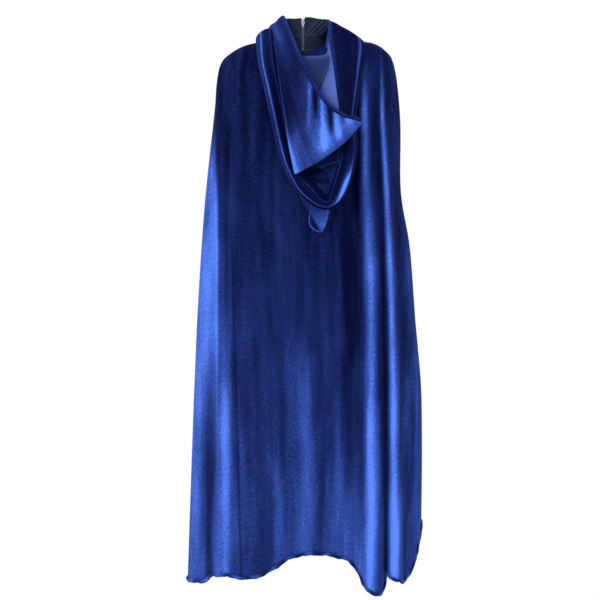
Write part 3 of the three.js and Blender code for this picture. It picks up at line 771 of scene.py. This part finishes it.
def hood_front_grid(down=150, across=120, under=0.0):
    """The front ply with its gathers: shallow ripples that start at the face edge's casing and
    die out across the ply, two of them deep, and soft drapes down its length; also the painted
    light and shade of the gathers."""
    p, q = steps(across)[None, :], steps(down)[:, None]
    grid = net(hood_front_net(), steps(down), steps(across))
    n = normals(grid)
    n *= np.sign(-n[down // 2, across // 2, 1])
    x, z = grid[..., 0], grid[..., 2]
    reach = smooth((p - 0.34) / 0.4) * smooth((q - 0.36) * 9) * smooth((0.83 - q) * 9)
    hang = np.clip(-(z + 60) / 100, 0, 3)  # creases start at the casing and lean to the right
    lines = (  # place, lean, width, height and length
        (17, -3, 4, 0.6, 1.6), (27, 2, 3, -1, 1.2), (40, 6, 4.5, 0.8, 2.4), (54, 9, 3, -1.2, 1.6),
        (66, 12, 4, 0.9, 1.9), (80, 12, 3, -1, 1.3), (92, 9, 4, 0.7, 1.3), (104, 6, 3, -0.6, 0.8),
    )
    crease = sum(
        height * bell(x, place + lean * hang, width * (1 + 0.4 * hang)) * smooth((length - hang) * 2.2)
        for place, lean, width, height, length in lines
    )
    small = 1.0 * np.sin(2 * math.pi * (46 * q + 0.5 * p)) * smooth((p - 0.88) / 0.12) * smooth((q - 0.3) * 8)
    drape = 1.6 * np.sin(2 * math.pi * (2.1 * p + 0.25)) * smooth(q * 5) * smooth((0.85 - q) * 5)
    lift = (3.4 * reach * crease + small + drape) * smooth((0.84 - q) * 12)
    # Painted highlights on the raised gathers and painted shade in the sunk ones, over a lighter stretch
    # where they run.
    shade = 0.62 * reach * crease + 0.26 * reach
    return grid + n * (lift - under)[..., None], p + 0 * q, q + 0 * p, shade


def swag_net():
    """The swag: a rolled fold that hangs from the left shoulder in a U and goes up to the right
    one. Each row crosses it from the inside of the U, over the ridge, to the outside."""
    left_top = [[[-60, -4, 30], [-68, -10, 40], [-82, -14, 44],
                 [-98, -22, 38], [-104, -30, 26], [-96, -34, 16]]]
    right_top = [[[54, 0, 32], [62, -6, 46], [84, -14, 50], [104, -20, 44], [112, -28, 28], [96, -30, 20]]]
    rows = lay([
        [[-56, 2, 30], [-70, 10, 44], [-84, 14, 46], [-100, 15, 38], [-112, 6, 26], [-104, 0, 14]],
        [[-44, 4, -26], [-62, 12, -24], [-78, 15, -24], [-96, 20, -26], [-107, 12, -30], [-98, 2, -34]],
        [[-34, 4, -100], [-50, 13, -98], [-64, 17, -94], [-82, 24, -92], [-92, 14, -96], [-82, 2, -102]],
        [[-26, 5, -160], [-40, 15, -160], [-52, 19, -158], [-68, 28, -156], [-78, 17, -162], [-66, 2, -170]],
        [[-18, 6, -220], [-30, 18, -222], [-39, 23, -222], [-54, 33, -222], [-63, 21, -230], [-52, 3, -238]],
        [[-10, 8, -268], [-22, 25, -272], [-28, 32, -274], [-38, 39, -278], [-46, 26, -286], [-34, 5, -296]],
        [[2, 14, -294], [-6, 36, -308], [-8, 44, -318], [-13, 47, -330], [-18, 36, -335], [-10, 14, -332]],
        [[22, 18, -312], [17, 42, -332], [15, 51, -344], [12, 52, -357], [9, 40, -362], [14, 22, -356]],
        [[41, 22, -334], [38, 46, -357], [37, 55, -365], [36, 56, -373], [35, 43, -378], [37, 24, -370]],
        [[56, 24, -348], [57, 49, -366], [57, 57, -371], [58, 57, -377], [58, 44, -382], [57, 24, -372]],
        [[66, 20, -326], [68, 44, -345], [75, 57, -355], [83, 57, -361], [87, 44, -367], [80, 22, -358]],
        [[76, 18, -288], [80, 40, -303], [92, 54, -312], [103, 54, -320], [110, 38, -328], [104, 16, -330]],
        [[84, 16, -258], [89, 38, -270], [102, 52, -274], [115, 50, -277], [124, 34, -282], [116, 12, -286]],
        [[92, 14, -224], [96, 38, -232], [108, 48, -230], [120, 44, -227], [130, 28, -228], [122, 8, -234]],
        [[96, 12, -176], [96, 42, -180], [104, 46, -176], [114, 40, -173], [126, 24, -172], [118, 5, -176]],
        [[92, 12, -136], [91, 46, -142], [106, 42, -134], [120, 33, -125], [132, 16, -122], [124, 2, -128]],
        [[84, 14, -52], [82, 44, -55], [106, 36, -52], [130, 24, -48], [142, 9, -46], [132, 0, -54]],
        [[70, 16, 22], [70, 28, 29], [102, 26, 24], [136, 15, 17], [150, 4, 8], [138, -4, 0]],
        [[64, 8, 54], [69, 12, 66], [92, 14, 54], [116, 8, 42], [132, -2, 28], [118, -8, 18]],
    ])
    left_end = [[[-46, 18, 8], [-54, 18, 16], [-72, 14, 18], [-88, 8, 12], [-94, 0, 2], [-88, -4, -4]]]
    right_end = [[[44, 20, 8], [52, 18, 18], [76, 12, 22], [98, 6, 16], [104, -2, 2], [92, -6, -4]]]
    return np.concatenate([left_end, left_top, rows, right_top, right_end])


def swag_painted_light(path, across):
    """Painted highlights on the thin ridge, on the crescent where the U turns up and on lines
    beside them; painted shade elsewhere.
    """
    path = (path * 22 - 1) / 20  # share of the way between the rows next to the sewn ends
    ridge = 0.66 * bell(across, 0.6, 0.03) * smooth(path * 16) * mix(1, 0.4, bell(path, 0.69, 0.06))
    second = 0.3 * bell(across, 0.34, 0.03) * smooth(path * 16) * smooth((0.5 - path) * 20)
    turn = 1.2 * bell(path, 0.585, 0.045) * bell(across, 0.56, 0.1)
    inner = 0.42 * bell(across, 0.2, 0.03) * smooth((path - 0.34) * 20) * smooth((0.72 - path) * 20)
    flank = 0.28 * bell(across, 0.72, 0.09) * smooth(path * 16) * smooth((0.42 - path) * 8)
    return 0.02 + ridge + second + turn + inner + flank


def hood_peak_grid():
    """The hood's lowest corner: a pointed flap under the swag, with a small loop of slack cloth
    at its left edge."""
    rows = lay([
        [[-26, 18, -318], [0, 34, -336], [30, 40, -356], [58, 40, -366], [86, 32, -352], [112, 20, -310]],
        [[-14, 16, -334], [8, 32, -352], [34, 38, -372], [58, 38, -380], [82, 26, -368], [102, 14, -336]],
        [[0, 13, -364], [16, 29, -374], [36, 35, -388], [57, 34, -394], [74, 22, -386], [88, 10, -362]],
        [[16, 11, -390], [24, 25, -398], [38, 30, -406], [53, 29, -410], [64, 17, -404], [72, 8, -392]],
        [[30, 10, -412], [34, 20, -418], [41, 24, -422], [49, 23, -424], [55, 13, -420], [58, 7, -414]],
        [[40, 9, -430], [41, 13, -432], [43, 16, -434], [45, 15, -434], [47, 10, -433], [47, 7, -431]],
    ])
    p, q = steps(60)[None, :], steps(60)[:, None]
    grid = net(rows, steps(60), steps(60))
    # Painted light and shade: lighter towards the lower part, painted shade over the right part, and a
    # painted highlight along a line beside it.
    shade = 0.36 + 0.2 * bell(q, 0.75, 0.25) - 0.4 * smooth((p - 0.62) * 14) + 0.24 * bell(p, 0.6, 0.02)
    return grid, shade + 0 * q


def pocket_grid():
    """Inside of the swag, behind the front ply: cloth that falls back in curved folds, painted
    dark as shade in its hollow, with painted highlights on its fold edges.
    """
    rows = lay([
        [[-16, 10, -250], [16, 12, -232], [48, 14, -214], [80, 14, -190], [104, 14, -160]],
        [[-14, 12, -282], [16, 20, -272], [46, 30, -264], [76, 34, -256], [98, 28, -244]],
        [[-8, 14, -300], [20, 16, -288], [46, 12, -282], [72, 22, -282], [90, 28, -274]],
        [[4, 16, -312], [24, 20, -304], [44, 24, -302], [62, 26, -304], [80, 26, -304]],
        [[20, 20, -330], [34, 14, -326], [48, 12, -326], [60, 18, -330], [72, 24, -334]],
        [[38, 24, -358], [46, 18, -356], [54, 16, -356], [60, 18, -358], [66, 26, -360]],
    ])
    grid = net(rows, steps(110), steps(110))
    x, z = grid[..., 0], grid[..., 2]
    upper = z - profile(x, (-10, -296), (23, -283), (40, -279), (64, -273), (92, -265))
    arc = x - profile(z, (-322, 67), (-313, 63), (-301, 62), (-290, 56), (-282, 40))
    lip = z - profile(x, (23, -313), (40, -320), (66, -324))
    beside = smooth((z + 324) / 6) * smooth(-(z + 279) / 4)
    inside = smooth(-arc / 3) * beside * smooth(lip / 4)
    panel = smooth(-lip / 3) * smooth((x - 23 + 0.61 * (z + 313)) / 5) * smooth((68 - x) / 5)
    edge = bell(lip, 0, 1.4) * smooth((x - 26) / 8) * smooth((68 - x) / 5)
    fold = 4 * bell(upper, 0, 5) + 4 * bell(arc, 0, 3) * beside - 6 * inside + 3 * panel
    grid[..., 1] -= fold * smooth((z + 345) / 20) * smooth(-(z + 240) / 16)
    # Painted highlights along the upper edge, the arc and the panel's edge, lighter on the panel and right of
    # the arc; painted shade in the hollow inside the arc.
    shade = 0.4 * bell(upper, -1, 1.6) * smooth((x - 8) / 16) + 0.34 * bell(arc, 1, 1.4) * beside
    shade = shade + 0.18 * panel + 0.22 * edge
    shade = shade + 0.14 * smooth(arc / 5) * smooth(-upper / 6) * smooth((z + 330) / 16)
    return grid, shade - 0.3 * inside


def hood_rear_net():
    """Rear ply, against the back: from the neck seam down behind the swag."""
    seam = [[[-52, -22, 22], [-34, -40, 6], [-4, -47, -2], [4, -47, -2], [34, -40, 6], [54, -22, 22]]]
    rows = lay([
        [[-80, 3, 10], [-46, 4, -2], [-2, 5, -14], [8, 5, -14], [48, 4, -4], [96, 3, 4]],
        [[-84, 3, -60], [-50, 4, -66], [0, 5, -70], [12, 5, -70], [60, 4, -66], [118, 3, -60]],
        [[-66, 3, -150], [-36, 4, -154], [4, 5, -158], [20, 5, -158], [66, 4, -154], [118, 3, -150]],
        [[-44, 3, -232], [-16, 5, -238], [14, 6, -244], [32, 6, -246], [74, 5, -240], [116, 4, -226]],
        [[-18, 4, -300], [6, 7, -310], [28, 8, -318], [44, 8, -320], [74, 7, -310], [104, 5, -296]],
        [[16, 6, -356], [26, 8, -362], [38, 9, -368], [48, 9, -368], [62, 8, -362], [80, 6, -350]],
    ])
    return np.concatenate([seam, rows])


def lining_net():
    """Lining that shows inside the V: it lies on the rear ply and turns forward on the right, in
    a crease, to the right face edge."""
    seam = [[[-46, -28, 12], [-30, -44, -5], [2, -50, -12], [4, -50, -12],
             [45, -43, -6], [54, -38, 18], [60, -36, 52]]]
    rows = lay([
        [[-60, 9, 0], [-36, 9, -12], [2, 10, -22], [6, 10, -22], [58, 10, -16], [67, 16, 6], [70, 26, 28]],
        [[-60, 9, -50], [-36, 9, -52], [2, 10, -54], [8, 10, -54],
         [56, 10, -48], [68, 26, -44], [79, 40, -40]],
        [[-44, 9, -96], [-24, 9, -98], [8, 10, -100], [14, 10, -100],
         [35, 11, -102], [64, 30, -92], [87, 43, -84]],
        [[-32, 9, -140], [-12, 10, -144], [14, 10, -146], [20, 10, -146],
         [30, 12, -150], [64, 28, -146], [90, 42, -138]],
        [[-22, 9, -196], [-4, 10, -200], [20, 11, -206], [28, 11, -206],
         [54, 13, -210], [74, 22, -206], [92, 36, -184]],
    ])
    return np.concatenate([seam, rows])


def hood_piece(name, grid, shade, thickness=1.1, look="velvet", slot="velvet"):
    return dress(wall(sheet_mesh(name, grid, shade), thickness), look)


class CAPE_OT_hood_velvet(bpy.types.Operator):
    """Velvet of the hood: front ply, swag, peak, pocket and rear ply"""

    bl_idname = "cape.hood_velvet"
    bl_label = "Hood"

    def execute(self, context):
        grid, p, q, gathers = hood_front_grid()
        # Painted light and shade of the front ply, added to that of the gathers: a painted highlight along
        # the inner ridge, lighter low down and near the neck, a painted highlight at the lower left corner,
        # and painted shade where the lower end folds under.
        ridge = (0.35 + 0.35 * q) * bell(p, 0.19, 0.035 + 0.05 * smooth((q - 0.4) * 2))
        ridge = ridge * smooth((q - 0.16) * 12)
        low = 0.44 * smooth((q - 0.5) * 4)
        neck = 0.3 * bell(q, 0.22, 0.08) * bell(p, 0.5, 0.3)
        corner = 0.34 * bell(grid[..., 0], -20, 17) * bell(grid[..., 2], -218, 46)
        under = 0.9 * smooth((q - 0.84) * 24)
        front = hood_piece("hood_front_ply", grid, 0.08 + ridge + low + neck + gathers + corner - under)
        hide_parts("hood_outer_left")
        path, across = steps(260)[:, None], steps(54)[None, :]
        swag_points = net(swag_net(), steps(260), steps(54))
        swag = hood_piece("hood_swag", swag_points, swag_painted_light(path, across))
        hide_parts("hood_outer_right")
        peak = hood_piece("hood_peak", *hood_peak_grid())
        pocket = hood_piece("hood_pocket", *pocket_grid())
        rear = hood_piece("hood_rear_ply", net(hood_rear_net(), steps(90), steps(70)), 0.15)
        loop = lay([
            [18, 24, -386], [15, 22, -402], [17, 20, -418], [26, 19, -428], [34, 17, -432], [42, 14, -434],
        ])
        loop = spline_weights(len(loop), steps(60)) @ loop
        slack = dress(tube("hood_peak_loop", loop, 1.7, 1.0, 0.4, 10, 0.55), "velvet")
        return {"FINISHED"}


class CAPE_OT_hood_lining(bpy.types.Operator):
    """Lining of the hood: inside the V, and under the front ply"""

    bl_idname = "cape.hood_lining"
    bl_label = "Hood lining"

    def execute(self, context):
        p, q = steps(110)[None, :], steps(110)[:, None]
        grid = net(lining_net(), steps(110), steps(110))
        grid[..., 1] -= 1.3 * bell(p, 0.42, 0.012) * smooth(q * 8)
        grid[..., 1] += 1.2 * np.sin(2 * math.pi * (q * 3 + p * 2)) * smooth(q * 3) * smooth((0.6 - p) * 5)
        # Painted light: the part that turns forward on the right is painted light; a dark line runs along the
        # seam, and a lighter band lies near the top.
        shade = 0.14 + 0.8 * smooth((p - 0.68) / 0.05) * smooth(q * 5) - 0.12 * bell(p, 0.42, 0.01)
        shade = shade + 0.3 * bell(q, 0.16, 0.05) * smooth((p - 0.4) * 6)
        rear = hood_piece("hood_lining_rear", grid, shade, 0.6, "lining", "hood_lining")
        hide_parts("hood_lining_right")
        grid, p, q, _ = hood_front_grid(100, 80, under=3.2)
        keep = int(100 * 0.82)
        front = hood_piece("hood_lining_front", grid[:keep], 0.3 + 0 * p[:keep], 0.6, "lining", "hood_lining")
        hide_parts("hood_lining_left")
        return {"FINISHED"}


def casing(name, line, outward, through, phase, taper):
    """The face edge's casing: a flat tube of cloth round the elastic, puckered by small gathers
    along it. outward points out of the cloth's edge and through points out of its face."""
    count = len(line)
    t = steps(count)[:, None]
    angle = np.linspace(0, 2 * math.pi, 24, endpoint=False)[None, :]
    pucker = 1 + 0.16 * np.sin(2 * math.pi * (44 * t + phase) + 1.2 * np.cos(angle))
    pucker = mix(1, pucker, taper(t))
    a = 5.4 * np.cos(angle) * (1 + 0.04 * (pucker - 1))
    b = 2.3 * np.sin(angle) * pucker
    grid = line[:, None] + a[..., None] * outward[:, None] + b[..., None] * through[:, None]
    ends = [np.repeat(line[:1, None], 24, axis=1), np.repeat(line[-1:, None], 24, axis=1)]
    # Painted light and shade: painted highlights on the puckers and painted shade along one flank of the
    # tube.
    shade = 0.3 + 0.7 * (pucker - 1) + 0 * angle - 0.3 * bell(np.cos(angle), -0.6, 0.18)
    shade = np.r_[shade[:1], shade, shade[-1:]]
    piece = sheet_mesh(name, np.concatenate([ends[0], grid, ends[1]]), shade, closed=True)
    tidy_mesh(piece)
    return piece


def edge_frame(grid, column, side):
    """The line of one edge of a grid, the way out of the cloth there, and the cloth's normal."""
    line = grid[:, column]
    inside = grid[:, column - 3 if column else 3]
    outward = line - inside
    outward /= np.linalg.norm(outward, axis=1, keepdims=True)
    along = np.gradient(line, axis=0)
    through = np.cross(outward, along)
    through /= np.maximum(np.linalg.norm(through, axis=1, keepdims=True), 1e-9)
    return line, outward, through * side


class CAPE_OT_hood_edge(bpy.types.Operator):
    """Face edge of the hood: casings, the elastic inside them, and their stitching"""

    bl_idname = "cape.hood_edge"
    bl_label = "Hood edge"

    def execute(self, context):
        grid, _, _, _ = hood_front_grid(400, 60)
        left = slice(4, int(400 * 0.79))
        edge_left = [part[left] for part in edge_frame(grid, -1, 1)]
        swag_points = net(swag_net(), steps(400), steps(60))[::-1, ::-1]
        right = slice(10, 118)
        edge_right = [part[right] for part in edge_frame(swag_points[:, :49], -1, 1)]
        puckers = {"left": lambda t: smooth((t - 0.28) * 4), "right": lambda t: 0.25 + 0 * t}
        for hand, (edge, out, through) in (("left", edge_left), ("right", edge_right)):
            middle = edge + 4.0 * out
            piece = casing(f"hood_casing_{hand}", middle, out, through, 0.1, puckers[hand])
            dress(piece, "velvet")
            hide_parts(f"hood_edge_casing_{hand}", f"hood_edge_elastic_{hand}")
            band = np.stack([middle - 2.5 * out, middle + 2.5 * out], axis=1)[3:-3]
            elastic = wall(sheet_mesh(f"hood_elastic_{hand}", band), 1.0)
            dress(elastic, "elastic")
            facing = through * np.sign(-through[:, 1:2])
            path = edge + 0.2 * out + 1.2 * facing
            thread = stitches(f"hood_casing_stitching_{hand}", path, facing, 2.4, 1.2, 0.45)
            dress(thread, "thread")
        return {"FINISHED"}


# ---- The collar and its band.
def back_seam(angle):
    """The neck seam as it shows: at the back it dips towards the hood's weight."""
    away = np.abs(np.where(angle > math.pi, angle - 2 * math.pi, angle))
    return neck_seam_height(angle) * mix(0.36, 1, smooth((away - 0.9) / 0.8))


def band_top(angle):
    return 0.6 * neck_seam_height(angle) + 27


OPENING = -np.array(node_box("zip_slider")[0])[0] + 0.7  # from the zip's middle to the collar's edge


def neck_angles(count):
    start = math.asin(OPENING / NECK_X)
    return np.linspace(start, 2 * math.pi - start, count)


def collar_grid(outwards, low, high, crumple):
    """A strip round the neck from one side of the zip to the other. Soft creases run slantwise
    across it on the right, upright ones on the left, and its top edge droops between them."""
    angle = neck_angles(260)[None, :]
    v = steps(70)[:, None]
    around = np.where(angle > math.pi, angle - 2 * math.pi, angle)
    s = NECK_X * around  # length from the centre back, to the right
    top = high(angle) + crumple * (1.6 * np.sin(s / 9) * bell(s, 30, 60) - 1.2 * bell(s, -20, 12))
    z = mix(top, low(angle), v)
    slant = s - 0.9 * (z - 40)
    creases = (
        2.6 * bell(slant, 8, 3.6) + 2.8 * bell(slant, 18, 4) + 2.4 * bell(slant, 30, 4.5)
        - 1.8 * bell(slant, 13, 3) - 2.0 * bell(slant, 24, 3.4) + 2.0 * bell(slant, 44, 6)
    ) * smooth((z - 26) / 20) * smooth(s / 12)
    upright = (1.6 * bell(s + 0.2 * z, -14, 3.4) - 1.2 * bell(s + 0.3 * z, -6, 3)) * smooth((z - 30) / 20)
    level = 1.8 * bell(z, 36 + 0.12 * s, 3) * smooth((36 - np.abs(s)) / 20)
    flare = 9 * smooth((s - 16) / 46) * smooth((110 - s) / 40) * smooth((z - 24) / 40)
    lift = crumple * (np.maximum(creases + upright + level, -1.2) + 0.6 + flare)
    x = (NECK_X + outwards + lift) * np.sin(angle)
    y = -(NECK_Y + outwards + lift) * np.cos(angle)
    # Painted light and shade of the creases: lighter where the cloth stands out, darker in the hollows.
    shade = 0.3 + crumple * 0.16 * (creases + upright + level)
    return np.stack([x + 0 * z, y + 0 * z, z + 0 * x], axis=-1), shade + 0 * v


class CAPE_OT_collar(bpy.types.Operator):
    """Stand collar, its facing, the plain band under it and the binding over the neck seam"""

    bl_idname = "cape.collar"
    bl_label = "Collar"

    def execute(self, context):
        top = COLLAR_HIGH[2]

        def seam(angle):
            return back_seam(angle) + 0.4

        def high(angle):
            return top - 2 * (1 - np.cos(angle))

        parts = (
            ("collar", "collar_outer", 0.0, lambda a: band_top(a) + 0.4, high, 1.0, 1.6, (0.31, 0.048)),
            ("neck_band_cloth", "neck_band", 0.0, seam, band_top, 0.0, 1.6, (0.31, 0.026)),
            ("collar_lining", "collar_facing", -3.6, seam, lambda a: high(a) - 1.5, 0.0, 1.2, (0.3, 0.07)),
        )
        for name, node, out, low, up, crumple, thick, flat in parts:
            grid, shade = collar_grid(out, low, up, crumple)
            piece = dress(wall(sheet_mesh(name, grid, shade), thick), "jersey")
            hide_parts(node)
            if name == "collar":
                for hand, column in (("right", 4), ("left", -5)):
                    n = normals(grid)[2:-2, column]
                    n *= np.sign(-n[:1, 1:2])
                    path = grid[2:-2, column] + 0.8 * n
                    thread = stitches(f"zip_topstitching_{hand}", path, n, 2.2, 0.8, 0.5)
                    dress(thread, "dark_thread")
        self.binding()
        return {"FINISHED"}

    def binding(self):
        """A folded strip over the hood's neck edge, across the back inside the hood."""
        angle = np.linspace(-1.15, 1.15, 160)[None, :]
        v = steps(24)[:, None]
        roll = np.sin(math.pi * v)
        out = 5.6 + 1.6 * roll
        z = back_seam(angle) + 1 - 14 * v + 0.8 * np.sin(5 * angle)
        x = (NECK_X + out) * np.sin(angle)
        y = -(NECK_Y + out + 2 * v) * np.cos(angle)
        grid = np.stack([x + 0 * v, y, z + 0 * x], axis=-1)
        # A painted highlight along the strip just below its top edge.
        shade = 0.3 + 0.3 * bell(v, 0.08, 0.06) + 0 * angle
        piece = dress(wall(sheet_mesh("neck_binding_cloth", grid, shade), 0.9), "jersey")
        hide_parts("neck_binding")


class CAPE_OT_zip(bpy.types.Operator):
    """Finishes of the back zip: tapes, teeth, stops, slider and pull"""

    bl_idname = "cape.zip"
    bl_label = "Zip"

    def execute(self, context):
        looks = {"zip_tape": "tape", "zip_teeth": "coil", "zip_metal": "nickel"}
        for entry in frame["record"]["subparts"]:
            slot = entry["material_slot"]
            if slot in looks:
                mesh = frame["nodes"][entry["node"]].data
                mesh.materials.clear()
                mesh.materials.append(finish(looks[slot]))
        return {"FINISHED"}


# ---- Stage.
class CAPE_OT_stage(bpy.types.Operator):
    """A white studio, soft lights and the camera behind the cape"""

    bl_idname = "cape.stage"
    bl_label = "Stage"

    def execute(self, context):
        setup = context.scene.cape_stage
        low, high = (np.array(corner) for corner in CAD_BOX)
        middle = (low + high) / 2
        context.scene.view_settings.view_transform = "Standard"
        world = bpy.data.worlds.new("studio")
        context.scene.world = world
        world.use_nodes = True
        sky = world.node_tree.nodes["Background"].inputs
        sky["Color"].default_value = (1.0, 1.0, 1.0, 1)
        sky["Strength"].default_value = setup.fill
        self.lamp("key", (-1.5, -2.3, 0.9), middle, setup.key, 1.0)
        self.lamp("side", (2.2, -1.2, 0.2), middle, setup.key * 0.35, 1.2)
        self.lamp("front", (0.6, 2.6, 0.6), middle, setup.key * 0.6, 1.6)
        camera = bpy.data.cameras.new("camera")
        camera.lens_unit = "FOV"
        camera.angle = 2 * math.atan(setup.view_width / 2 / setup.distance)
        view = shown("camera", camera)
        view.location = (setup.aim_x, middle[1] - setup.distance, setup.aim_z)
        view.rotation_euler = (math.pi / 2, 0, 0)
        context.scene.camera = view
        return {"FINISHED"}

    def lamp(self, name, place, aim, power, size):
        light = bpy.data.lights.new(name, "AREA")
        light.energy = power
        light.size = size
        lamp = shown(name, light)
        way = np.array(aim) - np.array(place)
        yaw = math.atan2(way[1], way[0]) - math.pi / 2
        tilt = math.atan2(way[2], math.hypot(way[0], way[1])) + math.pi / 2
        lamp.location = place
        lamp.rotation_euler = (tilt, 0, yaw)


def colour(name, description, default):
    return FloatVectorProperty(
        name=name, description=description, default=default, subtype="COLOR", size=3, min=0, max=1
    )


def length(name, description, default):
    return FloatProperty(name=name, description=description, default=default, unit="LENGTH")


class CapeColours(bpy.types.PropertyGroup):
    # The three velvet colours stand for painted shade, the middle tone and the painted highlight on a fold's
    # crest; the painted light and shade on each mesh mixes them.
    velvet_dark: colour("Velvet, dark", "Pile that lies towards the eye", (0.0003, 0.0016, 0.024))
    velvet_middle: colour("Velvet, middle", "Pile that stands upright", (0.0075, 0.018, 0.108))
    velvet_light: colour("Velvet, light", "Pile brushed over on a fold's crest", (0.09, 0.21, 0.86))
    lining_dark: colour("Lining, dark", "Lining that lies on the back", (0.005, 0.014, 0.07))
    lining_light: colour("Lining, light", "Lining that turns to the light", (0.085, 0.14, 0.5))
    # The jersey colours are the painted shade in the collar's creases and the painted highlight on them.
    jersey_dark: colour("Jersey, dark", "Collar cloth in its creases", (0.002, 0.0045, 0.012))
    jersey_light: colour("Jersey, light", "Collar cloth on its creases", (0.022, 0.036, 0.085))
    thread: colour("Thread", "Sewing thread", (0.02, 0.045, 0.26))


class CapeStage(bpy.types.PropertyGroup):
    view_width: length("View width", "Width seen at the cape", 1.44)
    distance: length("Distance", "From the camera to the cape", 3.2)
    aim_x: length("Aim across", "Camera's place across", -0.007)
    aim_z: length("Aim height", "Camera's height", -0.595)
    key: FloatProperty(name="Key", description="Power of the main light", default=40.0, unit="POWER")
    fill: FloatProperty(name="Fill", description="Strength of the light from all round", default=1.0)


STEPS = (
    CAPE_OT_body_back,
    CAPE_OT_body_front,
    CAPE_OT_hood_velvet,
    CAPE_OT_hood_lining,
    CAPE_OT_hood_edge,
    CAPE_OT_collar,
    CAPE_OT_zip,
    CAPE_OT_stage,
)


class CAPE_PT_panel(bpy.types.Panel):
    """Lists the cape's settings and the steps that build it"""

    bl_label = "Cape"
    bl_space_type = "VIEW_3D"
    bl_region_type = "UI"
    bl_category = "Cape"

    def draw(self, context):
        for group in (context.scene.cape_colours, context.scene.cape_stage):
            for key in group.__annotations__:
                self.layout.prop(group, key)
        for step in STEPS:
            self.layout.operator(step.bl_idname)


CLASSES = (CapeColours, CapeStage, *STEPS, CAPE_PT_panel)


def register():
    for item in CLASSES:
        bpy.utils.register_class(item)
    bpy.types.Scene.cape_colours = PointerProperty(type=CapeColours)
    bpy.types.Scene.cape_stage = PointerProperty(type=CapeStage)


def unregister():
    del bpy.types.Scene.cape_stage
    del bpy.types.Scene.cape_colours
    for item in reversed(CLASSES):
        bpy.utils.unregister_class(item)


def main():
    register()
    for step in STEPS:
        group, name = step.bl_idname.split(".")
        getattr(getattr(bpy.ops, group), name)()


if __name__ == "__main__":
    main()
